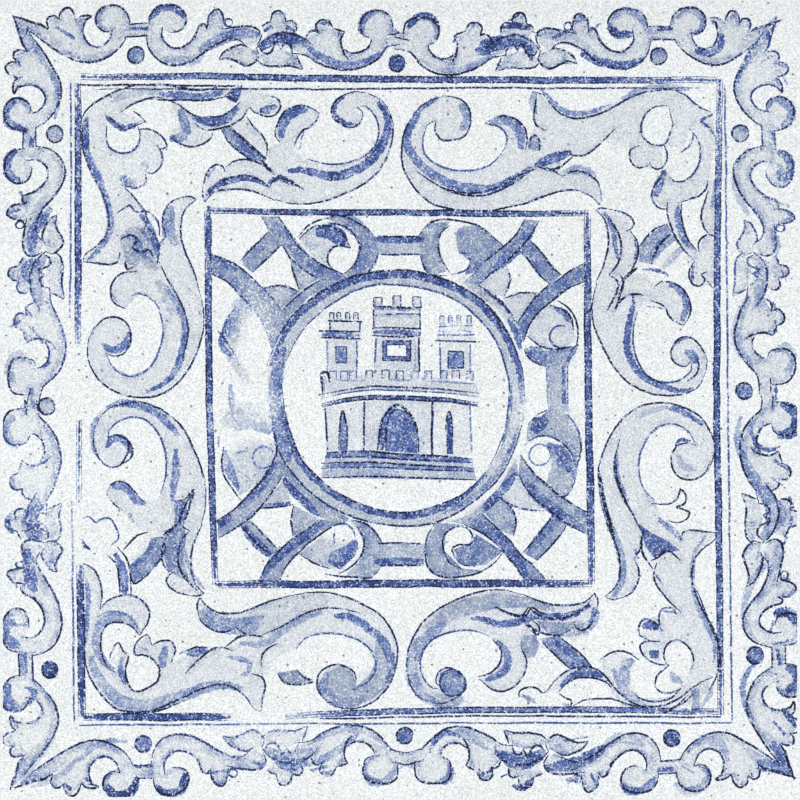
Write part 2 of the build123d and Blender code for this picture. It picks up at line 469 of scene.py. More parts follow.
def armA(put, leaf):
    if leaf:
        pen(put, 281,143, 276,136, 278,124, 284,113, 293,108, 303,106, 313,109, 320,114, 320,114, 316,122,
            309,129, 303,131, 298,138, 294,147)
        pen(put, 304,132, 302,138, 300,150, ink=0.6)
        wash(put, 281,143, 276,136, 278,124, 284,113, 293,108, 303,106, 320,114, 309,129, 298,138,
             296,150)
    # big scroll
    pen(put, 368,94, 378,98, 386,106, 391,118, 393,132, 391,147, 386,160, 378,172, 366,183, 350,192,
        330,200, 310,204, 290,204, 276,200)
    pen(put, 357,108, 365,107, 372,113, 378,124, 379,136, 375,147, 366,156, 353,162, 338,165, 322,164,
        306,159, ink=0.8)
    pen(put, 366,93, 356,92, 346,95, 337,101, 332,110, 334,119, 341,125, 349,128, 357,126, 362,119,
        362,112, 357,108)
    wash(put, 281,143, 296,150, 304,160, 325,165, 353,162, 366,156, 375,147, 379,136, 378,124, 372,113,
         358,107, 362,116, 357,126, 349,128, 334,119, 332,110, 346,95, 366,92, 380,99, 391,118, 393,132,
         386,160, 366,183, 330,200, 296,205, 262,195, 245,190, 214,194, 205,203, 206,180, 213,168,
         225,170, 236,161, 252,161, 268,168, 268,150)
    # tail
    pen(put, 203,190, 206,178, 211,169, 218,165, 224,168, 226,173)
    pen(put, 226,168, 234,162, 246,160, 258,163, 268,168, 276,176)
    pen(put, 208,196, 220,184, 235,177, 250,177, 262,182, 269,188, 269,188, 276,179, 286,180, 296,185,
        305,190, w=1.1)
    pen(put, 205,203, 214,194, 228,190, 245,190, 262,195, 276,201)
    pen(put, 203,190, 203,198, 206,203)
    pen(put, 262,160, 268,168, 276,176, w=1.7)


def armB(put, leaf, scroll):
    # long leaf that runs along the frame
    pen(put, 118,85, 135,83, 150,84, 165,89, 180,96, 195,104, 210,109, 225,110, 238,105, 248,95, 255,86,
        262,84)
    pen(put, 262,84, 263,98, 265,110, 262,118, 252,121)
    pen(put, 185,121, 195,132, 205,141, 215,147, 225,147, 233,144)
    pen(put, 226,148, 238,157, 250,160, 264,158, w=1.2)
    wash(put, 118,86, 150,84, 180,97, 210,109, 240,104, 260,84, 266,100, 264,118, 270,130, 273,138,
         296,148, 310,160, 290,200, 270,194, 240,182, 215,183, 200,197, 198,182, 208,167, 228,163,
         243,162, 240,152, 225,147, 210,146, 190,125, 150,100)
    if leaf:
        pen(put, 272,138, 273,126, 278,117, 288,112, 298,112, 305,118, 309,126)
        pen(put, 296,132, 294,140, 298,150, ink=0.8)
        wash(put, 270,130, 274,124, 288,112, 298,112, 309,126, 296,138, 296,148, 273,138)
    if scroll:
        pen(put, 326,95, 338,90, 352,88, 365,91, 378,98, 388,110, 395,125, 398,142, 396,158, 388,172,
            378,183, 362,193, 345,200, 330,204, 310,204, 290,200)
        pen(put, 353,107, 365,112, 373,121, 376,132, 373,143, 367,151, 358,157, 345,162, 330,164, 315,162,
            303,156, 296,147, ink=0.7)
        pen(put, 338,92, 327,96, 320,103, 317,112, 319,122, 326,129, 336,132, 346,130, 354,124, 356,114,
            353,107)
        wash(put, 310,160, 330,164, 345,162, 367,151, 376,132, 365,112, 353,107, 356,118, 346,130,
             330,131, 318,118, 320,102, 335,91, 352,88, 378,98, 395,125, 396,158, 378,182, 345,200,
             310,204, 290,200)
    pen(put, 290,200, 270,194, 255,187, 240,182, 228,181, 215,183, 205,190, 200,197)
    pen(put, 262,160, 280,168, 296,178, 312,185, 330,189, 345,187, 360,183)
    # tail
    pen(put, 198,182, 201,174, 208,167, 218,163, 228,163, 236,167, 236,167, 243,162, 250,159, 262,159)
    pen(put, 198,182, 197,190, 200,197)


def clusterTopLeft(put):
    pen(put, 82,122, 85,114, 93,105, 102,99, 115,93, 130,88, 145,85)
    shade(put, 87,121, 86,135, 87,150, w=7, ink=0.9)
    pen(put, 122,113, 133,105, 146,100, 160,98, 170,101)
    pen(put, 106,116, 112,119, 118,126, 126,130, 136,127, 146,123)
    shade(put, 108,118, 116,125, 126,129, 140,124, w=6)
    pen(put, 134,112, 141,117, 147,124)
    pen(put, 108,126, 107,138, 110,147, 118,153, 126,154, 134,151, 139,144, 141,134, 139,128)
    pen(put, 139,131, 148,130, 158,134, 165,141, 167,148, 160,150)
    pen(put, 157,146, 162,153, 163,163, 158,171, 151,174, 145,171)
    shade(put, 143,163, 149,169, w=10, ink=0.7)
    pen(put, 146,175, 147,182, 142,187, 134,189, 126,186)
    shade(put, 121,177, 128,183, 138,186, w=10, ink=0.7)
    wash(put, 82,122, 100,99, 145,85, 170,100, 146,100, 122,113, 147,123, 130,131, 108,122, 106,138,
         112,149, 126,154, 139,144, 140,131, 158,134, 167,148, 162,155, 162,165, 146,175, 146,184,
         124,188, 133,198, 150,225, 110,230, 105,200, 88,150, tone=0.9)


def clusterTopRight(put):
    pen(put, 92,125, 96,115, 103,108, 109,100, 113,90)
    pen(put, 115,88, 122,100, 128,93, 138,85, w=1.5)
    pen(put, 129,112, 138,104, 150,101, 162,101, 174,107, 181,117, 182,126, 178,132)
    pen(put, 132,108, 140,108, 148,113, 153,120)
    pen(put, 107,133, 107,145, 112,153, 120,158, 128,160, 138,157, 145,149, 146,140, 143,134, 135,131,
        125,128, 112,131)
    pen(put, 145,137, 152,134, 160,134, 168,138, 170,146, 164,152)
    pen(put, 166,152, 169,161, 165,168, 157,171, 150,169, 146,161)
    pen(put, 170,135, 178,140, 186,146, 196,149, 205,146, 210,138, 208,132)
    shade(put, 172,136, 184,141, 197,145, w=9, ink=0.8)
    wash(put, 92,125, 103,108, 113,90, 138,85, 180,92, 196,104, 206,128, 208,140, 196,149, 180,142,
         170,136, 182,126, 180,114, 162,101, 146,101, 129,112, 150,117, 146,134, 128,129, 108,132,
         108,146, 120,158, 138,157, 148,140, 166,138, 170,146, 168,163, 157,171, 140,172, 146,190,
         120,215, 95,170, tone=1.1)


def clusterBottomRight(put):
    pen(put, 107,108, 115,100, 125,93, 137,88)
    pen(put, 120,113, 128,104, 140,100, 152,100, 163,104, 168,109)
    pen(put, 122,112, 130,108, 140,109, 145,114, 145,114, 144,124, 137,131, 131,136)
    shade(put, 119,117, 126,122, 130,129, w=8, ink=0.5)
    pen(put, 112,129, 107,137, 108,147, 114,155, 122,160, 130,159, 136,152, 137,143, 133,136)
    pen(put, 131,136, 142,136, 152,140, 159,148, 160,155, 152,159, 140,159)
    shade(put, 142,146, 152,146, w=14, ink=0.9)
    pen(put, 152,160, 160,165, 162,173, 158,181, 150,180, 142,175, 138,169)
    shade(put, 142,172, 152,176, 158,172, w=8, ink=0.9)
    pen(put, 140,172, 142,183, 138,192, 128,193, 124,186)
    shade(put, 126,189, 137,190, w=6, ink=0.9)
    shade(put, 172,116, 176,124, 176,134, 168,141, w=9, ink=0.55)
    pen(put, 162,140, 170,147, 182,150, 192,147, 200,141)
    pen(put, 92,110, 84,125, 81,145, 84,165, 92,180, 98,195, 104,210)
    wash(put, 92,110, 107,100, 137,88, 180,95, 196,120, 198,142, 184,149, 164,141, 172,120, 160,103,
         128,104, 118,118, 112,129, 107,140, 112,154, 124,160, 136,152, 140,136, 158,148, 158,165,
         158,181, 142,185, 128,193, 135,205, 150,225, 112,228, 98,195, 84,165, tone=0.9)


def clusterBottomLeft():
    # lobes and straps that come down from the scroll above
    linePen(83,518, 90,516, 97,522, 103,518, 111,518, 117,527, 119,538, 112,545, ink=0.8)
    linePen(82,538, 86,545, 92,549, w=1.8)
    linePen(124,550, 131,542, 138,535, 149,532)
    linePen(106,553, 117,563, 120,575, 121,596)
    linePen(118,546, 127,557, 131,572, 132,596)
    shadePen(116,553, 123,566, 125,580, 126,596, w=8, ink=0.8)
    strapTint(130,565, 138,558, 147,550, 152,537, 164,536, 166,545, 160,560, 150,572, 134,583, fill=0.5)
    linePen(131,567, 134,583, 148,574, 160,560, 166,546, 163,536)
    shadePen(134,566, 144,558, 152,546, 156,539, w=4, ink=0.8)
    linePen(84,563, 95,569, 101,581, 103,596, 101,609)
    shadePen(87,576, 90,596, 88,618, 86,642, w=5, ink=0.6)
    scrollTint(80,562, 96,569, 103,585, 101,609, 88,650, 82,640, tone=0.8)
    # the curl and its lobe
    linePen(101,609, 108,600, 120,595, 133,595, 144,601, 150,611, 148,623, 140,635)
    linePen(140,634, 132,625, 120,621, 108,624, 102,635, 102,650, 108,664, 117,673)
    linePen(98,617, 107,612, 120,611, 132,617, 139,628, ink=0.4)
    shadePen(139,632, 134,621, 124,616, 112,617, 102,624, 97,638, 99,650, 106,662, 115,670, w=8.5,
             ink=0.5)
    scrollTint(101,609, 108,600, 120,595, 133,595, 144,601, 150,611, 148,623, 140,635, 132,625, 120,621,
               108,624, 102,635, 102,650, 108,664, 117,674, 116,664, 120,643, 129,656, 126,669, 129,683,
               135,690, 149,687, 158,681, 160,669, 155,660, 144,654, 136,654, 136,645, 149,634, 153,645,
               161,640, 171,640, 176,650, 172,662, 196,652, 240,650, 262,668, 262,700, 243,690, 209,689,
               176,704, 140,712, 120,710, 96,686, 86,655, 90,628)
    linePen(112,667, 111,654, 119,642, 124,650, 129,656, 126,669, 129,683, 135,690, 149,687, 158,681,
            160,669, 155,660, 144,654, 136,654, 136,645, 141,638, 149,634, 153,645, 153,645, 161,640,
            171,640, 176,650, 172,661)
    shadePen(122,656, 121,670, 126,684, w=6, ink=0.55)
    shadePen(166,645, 164,656, 163,667, w=9, ink=0.6)
    shadePen(140,646, 150,650, w=5, ink=0.4)
    shadePen(159,664, 161,676, w=4, ink=0.9)
    # the curve along the frame
    linePen(85,645, 87,664, 96,686, 108,700, 120,709, 140,712, 157,710, 176,704, 190,697)
    shadePen(92,655, 97,672, 108,688, 122,700, 141,705, 160,702, 180,696, 200,688, 222,684, 243,688, w=10,
             ink=0.5)
    # a dark leaf on the way to the scroll
    linePen(180,653, 187,650, 196,646, 208,646)
    shadePen(187,654, 197,651, 208,648, w=8, ink=0.85)


def strapsTopLeft():
    linePen(150,85, 170,86, 190,90, 205,91, 218,88, w=1.2)
    linePen(150,100, 170,101, 190,101, 210,101, 226,98)
    shadePen(112,103, 125,96, 145,92, 165,93, w=7, ink=0.35)
    shadePen(160,95, 180,96, 195,98, 207,97, 224,93, w=7, ink=0.85)
    strapTint(225,97, 232,90, 243,86, 241,96, 237,104, 230,101, fill=1.0)
    linePen(170,101, 180,106, 190,114, 200,118, 212,118, 224,116, 235,108, 241,102)
    linePen(195,124, 205,131, 218,130, 230,127, 242,120, 250,108)
    shadePen(193,118, 203,122, 218,123, 230,117, 238,108, w=8, ink=0.85)
    scrollTint(150,86, 205,92, 240,88, 270,96, 281,104, 279,113, 262,117, 250,108, 242,120, 222,130,
               205,131, 195,124, 200,118, 224,116, 240,103, 226,98, 150,100, tone=0.8)
    # leaf under the strap
    linePen(170,137, 178,143, 190,147, 202,146, 212,139, 214,134)
    shadePen(181,110, 185,122, 186,132, 180,138, 170,139, w=9, ink=0.65)
    scrollTint(170,101, 182,104, 192,114, 204,130, 214,134, 204,146, 184,146, 170,138, 180,124)
    # tip leaf
    linePen(250,108, 254,113, 262,116, 272,117, 279,112, 281,104, 277,99, 268,97)
    shadePen(260,112, 268,111, 277,106, w=8, ink=0.9)
    # crossing strap
    linePen(222,130, 228,142, 240,153, 252,161, 262,165)
    linePen(247,118, 252,126, 262,135, 268,145, 267,157)
    linePen(232,130, 246,142, 258,153, 267,160, w=1.4)
    strapTint(222,130, 232,127, 246,141, 267,158, 264,166, 250,160, 232,146, fill=0.5)
    shadePen(230,132, 242,142, 254,152, 263,160, w=7, ink=0.75)
    scrollTint(232,127, 247,118, 262,135, 268,150, 262,152, 246,141)


def strapsTopRight():
    linePen(666,202, 666,214, 669,224, 675,238, 683,250, 693,260)
    linePen(681,202, 680,214, 682,226, 688,241, 697,252)
    shadePen(677,205, 677,222, 685,241, 692,250, w=6.5, ink=0.65)
    linePen(681,202, 690,199, 698,197, 705,190, 707,181)
    linePen(708,191, 703,205, 700,217, 703,229, 709,236)
    shadePen(714,180, 714,195, 711,208, w=5, ink=0.45)
    linePen(698,252, 698,243, 703,237, 709,235, 715,238)
    linePen(694,261, 689,270, 689,279, 693,285, 700,286, 704,280, 701,275, 707,272)
    shadePen(692,266, 692,281, w=7, ink=0.75)
    linePen(706,282, 712,289, w=1.3)
    scrollTint(666,202, 681,202, 681,222, 690,242, 697,252, 703,237, 714,236, 714,284, 700,286, 690,282,
               690,262, 676,244, 667,222)
    scrollTint(708,183, 715,178, 715,238, 703,230, 700,217, 703,205)
    # crossing strap
    strapTint(638,262, 640,245, 654,231, 667,225, 676,240, 661,252, 652,265, tone=0.6, fill=0.45)
    strapTint(660,268, 668,256, 680,246, 684,250, 673,262, 664,270, tone=0.6, fill=0.3)
    linePen(638,247, 645,238, 655,229, 667,224)
    linePen(670,234, 657,248, 651,264, w=1.3)
    shadePen(668,234, 656,247, 650,262, w=5, ink=0.7)


def strapsBottomRight():
    linePen(546,690, 553,681, 565,671, 582,666, 597,669, 606,676, 613,686, 625,698, 640,705, 650,705)
    linePen(559,690, 565,683, 575,678, 589,677, 604,680, 611,687)
    shadePen(560,686, 570,677, 586,672, 603,675, w=7, ink=0.8)
    linePen(570,707, 582,700, 597,698, 611,698, 625,703, 645,706, 664,704, 679,697, 690,688, 700,681,
            712,676)
    linePen(666,710, 678,703, 686,695)
    scrollTint(546,690, 553,681, 565,671, 582,666, 604,673, 614,686, 604,680, 589,677, 575,678, 565,684,
               559,692)
    strapTint(690,690, 700,684, 698,700, 700,710, 690,710, 692,698, fill=0.3)
    linePen(519,696, 519,691, 526,687, 536,687, 542,692, 546,690)
    shadePen(521,694, 528,698, 535,702, w=5, ink=0.6)
    linePen(559,692, 565,697, 571,700, 570,707)
    shadePen(562,702, 569,706, w=7, ink=0.5)
    # crossing strap
    strapTint(540,638, 558,635, 570,645, 584,657, 594,669, 582,666, 570,669, 556,655, 542,642, tone=0.7,
              fill=0.45)
    linePen(542,642, 556,655, 570,669)
    linePen(558,635, 570,645, 584,657, 594,669)
    shadePen(552,639, 568,651, 588,667, w=5, ink=0.75)
    shadePen(570,663, 580,667, 590,669, w=6, ink=0.85)


# What differs from one scroll to the next
def scrollTopLeft():
    shadePen(282,139, 282,127, 288,117, 298,111, 308,110, w=9, ink=0.8)
    shadePen(288,172, 300,170, 314,174, 330,177, 345,175, 360,169, 374,158, 384,143, 388,127, 385,112,
             378,102, w=8, ink=0.95)
    shadePen(345,97, 336,104, 334,113, 340,121, 348,125, 356,124, w=5, ink=0.9)
    shadePen(208,178, 216,168, w=6, ink=0.7)
    shadePen(206,197, 220,185, 232,180, 246,178, 258,181, 268,187, w=6.5, ink=0.9)
    shadePen(268,184, 280,178, 296,186, w=6)


def scrollTopRight():
    # seen from the junction: leaf by the frame, then the scroll to its left
    shadePen(688,90, 665,87, 650,88, 635,93, 620,100, w=6, ink=0.5)
    shadePen(610,105, 590,113, 575,115, 560,110, 550,100, 540,90, w=5, ink=0.7)
    shadePen(534,92, 532,104, 536,116, w=7, ink=0.5)
    shadePen(571,153, 556,158, 544,162, 534,167, w=9, ink=0.95)
    shadePen(595,178, 588,172, 574,170, 562,172, w=8, ink=0.5)
    linePen(554,193, 537,198, 525,204, 507,208, 492,211, 474,211, 452,210, 436,206, 423,197, 411,184,
            403,168, 402,148, 405,131, 413,117, 425,104, 443,97)
    linePen(443,97, 460,100, 469,110, 470,124, 465,137, 452,141, 441,140, 435,131, 436,122, 427,126)
    linePen(427,126, 423,138, 424,153, 434,164, 452,171, 470,171, 489,166, 499,157, 505,148, ink=0.7)
    shadePen(532,167, 514,179, 492,189, 470,189, 452,185, 434,176, 420,165, 409,151, 407,137, 413,122,
             423,108, 438,99, w=8, ink=0.75)
    linePen(534,168, 521,179, 503,189, 485,196, 465,196, 447,191, 431,182, 416,171)
    shadePen(460,105, 467,118, 460,132, w=8, ink=0.5)
    linePen(485,124, 492,120, 503,117, 516,121, 525,130, 527,141, 525,150)
    linePen(485,124, 497,127, 504,132, 507,139, 505,148, ink=0.8)
    shadePen(489,124, 504,121, 515,127, 521,138, 520,149, w=9, ink=0.7)
    strapTint(528,150, 530,139, 535,136, 539,142, 539,152, fill=0.4)
    linePen(528,150, 530,139, 535,136, 539,142, 539,152)
    scrollTint(560,192, 537,198, 506,208, 474,211, 452,210, 436,206, 423,197, 411,184, 403,168, 402,148,
               405,131, 413,117, 425,104, 443,97, 460,100, 469,110, 470,124, 465,137, 452,142, 441,140,
               435,131, 436,122, 427,126, 423,140, 424,153, 434,164, 452,171, 470,171, 489,166, 499,157,
               505,148, 504,132, 485,124, 503,117, 516,121, 525,130, 527,141, 540,150, 560,160)


def scrollRightUpper():
    shadePen(633,296, 631,312, 627,330, 626,344, 630,360, 639,373, 654,383, 670,389, 683,391, 693,388,
             w=6.5, ink=0.85)
    shadePen(668,286, 680,291, 686,301, 684,312, 681,321, w=6.5, ink=0.75)
    shadePen(641,270, 659,271, 668,277, w=3.5, ink=0.8)
    shadePen(627,267, 636,262, w=3)
    linePen(619,275, 623,282, 619,295, 615,309, 615,306, 615,306, 625,296, 636,294, 643,295, w=1.2)
    shadePen(622,281, 620,290, w=4, ink=0.6)
    shadePen(684,352, 694,357, 695,364, w=8, ink=0.85)
    linePen(696,358, 698,365, 696,374, 686,381)
    shadePen(673,345, 683,339, 692,336, w=3, ink=0.7)
    shadePen(604,212, 612,228, 615,248, 618,262, w=4.5, ink=0.75)
    shadePen(634,240, 636,252, 632,262, w=4, ink=0.8)


def scrollRightLower():
    shadePen(636,418, 649,411, 664,407, w=7, ink=0.35)
    shadePen(662,407, 676,409, 689,416, 702,425, w=6, ink=0.75)
    linePen(615,459, 615,475, 619,488, 625,501, 632,514, w=1.3)
    shadePen(615,450, 617,480, 628,502, w=5, ink=0.6)
    linePen(598,470, 601,490, 606,511, 614,539, w=1.8)
    shadePen(609,520, 616,540, 620,555, 622,572, 618,588, 612,596, w=7, ink=0.55)
    shadePen(676,454, 683,466, 696,469, w=7, ink=0.45)
    shadePen(674,446, 680,439, 690,441, w=3.5, ink=0.95)
    # a ragged leaf, and the knot
    linePen(651,503, 667,504, 676,499, 680,490, 685,495, 684,503, 676,507, 684,509, 689,512, 686,519,
            676,522, 667,520)
    shadePen(657,518, 667,526, 676,534, 683,541, w=6, ink=0.65)
    strapTint(636,522, 650,532, 668,541, 679,550, 666,552, 654,558, 645,546, 641,533, fill=0.75)
    linePen(650,560, 657,557, 667,550, 679,560, w=1.1)
    shadePen(634,549, 638,558, w=6, ink=0.7)
    shadePen(655,574, 663,585, w=5, ink=0.8)
    shadePen(705,535, 695,550, 691,565, 692,585, 697,605, 706,625, 714,645, 712,665, w=5, ink=0.5)


def scrollBottomRight():
    shadePen(612,668, 619,680, 629,695, 645,705, w=8, ink=0.5)
    shadePen(690,712, 700,706, 709,694, 713,680, w=5, ink=0.45)
    shadePen(470,618, 481,618, 496,623, 510,623, 525,619, 534,614, 546,616, 560,617, 575,613, 590,604,
             w=7, ink=0.85)
    linePen(499,609, 514,614, 526,614, 532,607, 543,613, 559,613)
    shadePen(445,622, 432,633, 420,643, 413,658, 411,671, 416,685, 427,698, 438,705, w=11, ink=0.55)
    strapTint(440,672, 448,669, 458,670, 466,678, 467,688, 460,694, 448,696, 441,690, 439,680, fill=0.55)
    linePen(*ringPoints(453, 682, 13.5, 0, 300), ink=0.8)
    strapTint(437,705, 430,690, 444,694, 462,694, 464,700, 455,708, 445,710, fill=0.25)
    strapTint(443,607, 465,598, 500,592, 530,597, 552,604, 555,612, 530,607, 500,607, 470,614, 440,624,
              428,634, 425,625, fill=0.25)
    linePen(528,620, 530,628, 537,634, 539,626, 533,620)
    # leaf
    linePen(478,676, 490,673, 499,663, 501,650, 492,638)
    linePen(519,645, 526,658, 525,670, 517,683, 503,690, 490,688, 479,678)
    shadePen(496,640, 505,650, 507,663, 499,674, 485,680, w=7, ink=0.7)
    scrollTint(478,676, 490,673, 499,663, 501,650, 492,638, 505,625, 522,640, 526,658, 525,670, 517,683,
               503,690, 490,688)
    strapTint(519,643, 525,658, 534,656, 539,645, 536,634, 524,634, fill=0.35)
    # strap to the corner
    shadePen(594,606, 594,618, 588,629, w=8, ink=0.7)
    strapTint(536,620, 560,622, 580,620, 588,632, 570,637, 548,634, fill=0.3)


def scrollBottomLeft():
    shadePen(334,615, 348,616, 363,624, 376,633, 385,644, 391,658, 391,670, 387,682, w=8, ink=0.8)
    shadePen(367,696, 352,702, 338,702, 327,694, 323,683, 329,672, w=9, ink=0.55)
    strapTint(352,688, 368,676, 376,660, 374,640, 384,640, 392,660, 388,685, 370,700, 352,706, 334,702,
              324,690, 328,672, 340,664, 352,668, 356,684, fill=0.22)
    shadePen(240,642, 254,644, 270,640, 282,631, 300,620, 322,612, w=7, ink=0.45)
    strapTint(240,618, 262,604, 300,594, 322,592, 330,600, 320,614, 296,622, 270,634, 244,636, tone=0.5,
              fill=0.07)
    shadePen(202,608, 212,620, 232,626, 250,624, 264,618, w=14, ink=0.55)
    linePen(277,672, 284,681, 293,684, 305,683, 313,680, 303,676, 297,669)
    strapTint(277,672, 284,681, 293,684, 313,680, 297,669, fill=0.25)
    linePen(262,665, 263,654, 269,647, 278,643)
    shadePen(228,656, 240,658, 250,662, 248,672, 240,674, w=5, ink=0.5)


def scrollLeftLower():
    shadePen(107,408, 121,403, 137,405, 153,411, 165,419, 174,430, 179,437, w=7.5, ink=0.72)
    shadePen(177,449, 177,462, 176,475, 174,486, 173,501, w=7, ink=0.7)
    shadePen(103,411, 95,422, 93,436, 95,449, 100,457, w=4.5, ink=0.65)
    shadePen(107,448, 112,440, 121,438, 129,445, 133,453, w=7, ink=0.8)
    linePen(108,438, 116,435, 129,441, 134,450, 131,459, 123,464)
    # leaf
    linePen(108,495, 110,487, 116,482, 124,482, 134,490, 144,501)
    linePen(108,495, 115,504, 124,510)
    shadePen(113,487, 123,486, 131,492, 137,500, 147,504, w=7.5, ink=0.65)
    shadePen(130,512, 134,522, w=6, ink=0.6)
    scrollTint(108,495, 110,487, 116,482, 124,482, 134,490, 144,501, 160,500, 168,520, 150,532, 134,526,
               124,510)
    # spur and knot
    linePen(178,501, 187,498, 194,490, 194,493, 189,511, 184,524, w=1.2)
    strapTint(174,500, 186,500, 188,510, 184,523, 182,532, 174,530, 176,515, fill=0.6)
    strapTint(165,530, 184,525, 187,535, 184,560, 190,580, 180,577, 168,570, 164,552, fill=0.45)
    shadePen(186,548, 188,562, 196,578, 206,590, w=4, ink=0.5)


def scrollLeftUpper():
    shadePen(87,118, 88,150, 96,170, 106,195, 111,215, 110,232, 100,250, 88,261, w=6.5, ink=0.75)
    shadePen(158,280, 165,292, 172,305, 177,317, w=11, ink=0.35)
    shadePen(166,287, 174,298, 181,311, 186,324, 185,337, 183,353, 178,367, 171,378, 160,386, 147,392,
             w=6.5, ink=0.75)
    shadePen(103,343, 110,349, 119,349, 127,343, 130,332, w=7, ink=0.8)
    shadePen(112,294, 118,302, w=5, ink=0.4)
    strapTint(120,236, 134,226, 148,228, 158,246, 158,272, 148,270, 142,260, 136,268, 128,264, 124,252,
              fill=0.22)
    shadePen(140,214, 148,222, 155,238, 160,256, w=6, ink=0.8)
    shadePen(128,236, 136,242, 144,252, 152,262, w=7, ink=0.6)
    shadePen(142,230, 150,240, w=5, ink=0.8)
    linePen(122,240, 130,236, 138,240, 134,248, 142,252, 150,250, 154,258, w=1.2)
    linePen(118,214, 130,206, 136,212, 148,212, 158,222, 160,236, w=1.1)
    shadePen(198,308, 202,318, w=4, ink=0.6)
    shadePen(188,287, 197,296, w=4, ink=0.4)
    shadePen(173,206, 168,220, 170,234, 178,246, w=11, ink=0.55)
    linePen(126,262, 128,270, 134,268, w=1.2)


def drawBand():
    clusterTopLeft(asDrawn)
    clusterTopRight(corner(1))
    clusterBottomRight(corner(2))
    for draw in (clusterBottomLeft, strapsTopLeft, strapsTopRight, strapsBottomRight,
                 scrollTopLeft, scrollTopRight, scrollRightUpper, scrollRightLower,
                 scrollBottomRight, scrollBottomLeft, scrollLeftLower, scrollLeftUpper):
        draw()
    for turn in range(4):
        armA(bent(corner(turn), armBendsA[turn]), turn < 2)
        armB(bent(mirrored(corner(turn)), armBendsB[turn]), turn == 0, turn != 1)


# The strapwork square: each quarter has two straps tied by a link, petals between them, and volutes
def quarterTopLeft():
    # upper strap and link
    linePen(262,217, 270,231, 270,231, 258,243, 241,261)
    linePen(279,217, 288,231, 298,247, 313,259, 329,269, 345,275)
    linePen(282,245, 291,259, 300,267, 312,275, 320,280)
    linePen(282,245, 268,258, 253,273)
    shadePen(274,222, 285,232, 293,245, 305,258, 322,270, 340,278, w=9, ink=0.62)
    shadePen(268,239, 255,251, 244,263, w=9, ink=0.5)
    strapTint(262,217, 279,217, 288,231, 298,247, 313,259, 345,275, 350,281, 320,280, 300,267, 282,245,
              270,231, fill=0.4)
    strapTint(270,232, 282,245, 268,258, 253,273, 243,265, 258,243, fill=0.35)
    strapTint(207,253, 220,258, 236,265, 250,276, 264,289, 282,311, 290,322, 272,350, 264,326, 254,310,
              240,295, 226,281, 212,275, fill=0.42)
    strapTint(320,280, 350,281, 309,297, 288,323, 272,348, 276,326, 282,311, 294,299, 305,290, fill=0.25)
    strapTint(291,261, 296,279, 300,291, 318,280, 304,270, tone=0.7, fill=0.2)
    strapTint(264,288, 280,286, 300,292, 282,309, tone=0.7, fill=0.2)
    # lower strap
    linePen(207,253, 220,258, 236,265, 250,276, 264,289, 274,299, 282,310)
    linePen(212,275, 226,281, 240,295, 254,310, 264,326, 270,340)
    shadePen(209,256, 224,262, 238,271, w=7, ink=0.8)
    shadePen(222,268, 240,278, 256,294, 268,310, 275,328, w=12, ink=0.5)
    # petals
    linePen(291,261, 296,279, 300,291)
    linePen(264,288, 280,286, 290,288, 300,292)
    linePen(282,311, 294,299, 305,290, 320,280)
    shadePen(284,318, 296,304, 309,293, 324,284, w=6, ink=0.45)
    # top volute
    linePen(326,219, 339,216, 355,221, 367,229, 375,237)
    linePen(327,223, 339,225, 351,231, 359,243, 359,255, 353,267, 343,275)
    linePen(378,253, 375,265, 367,273)
    shadePen(331,218, 346,221, 359,230, 367,243, 366,258, 358,271, w=14, ink=0.55)
    strapTint(326,219, 345,216, 367,229, 376,238, 378,255, 370,272, 350,280, 345,274, 356,262, 359,245,
              350,230, fill=0.35)
    linePen(298,238, 307,227, 319,221, 326,219)
    linePen(299,240, 309,230, 321,226, 335,229, 345,237, 351,249, 351,249, 341,246, 333,248, 328,257,
            329,265, 335,272)
    shadePen(316,233, 330,232, 340,238, 346,245, w=13, ink=0.95)
    shadePen(305,244, 318,248, w=11, ink=0.3)
    strapTint(299,240, 309,230, 325,226, 345,237, 350,249, 336,247, 328,257, 331,268, 314,258, tone=0.5)
    # left volute, mostly worn
    linePen(218,330, 226,340, 236,356, ink=0.9)
    linePen(222,352, 221,338, 226,322, 236,308, ink=0.5)
    shadePen(252,306, 240,314, 232,326, 236,342, w=13, ink=0.6)
    shadePen(228,352, 238,366, 248,380, w=9, ink=0.3)
    strapTint(256,302, 236,310, 222,330, 226,352, 244,384, 252,380, 236,352, 246,328, 262,318, tone=0.5)


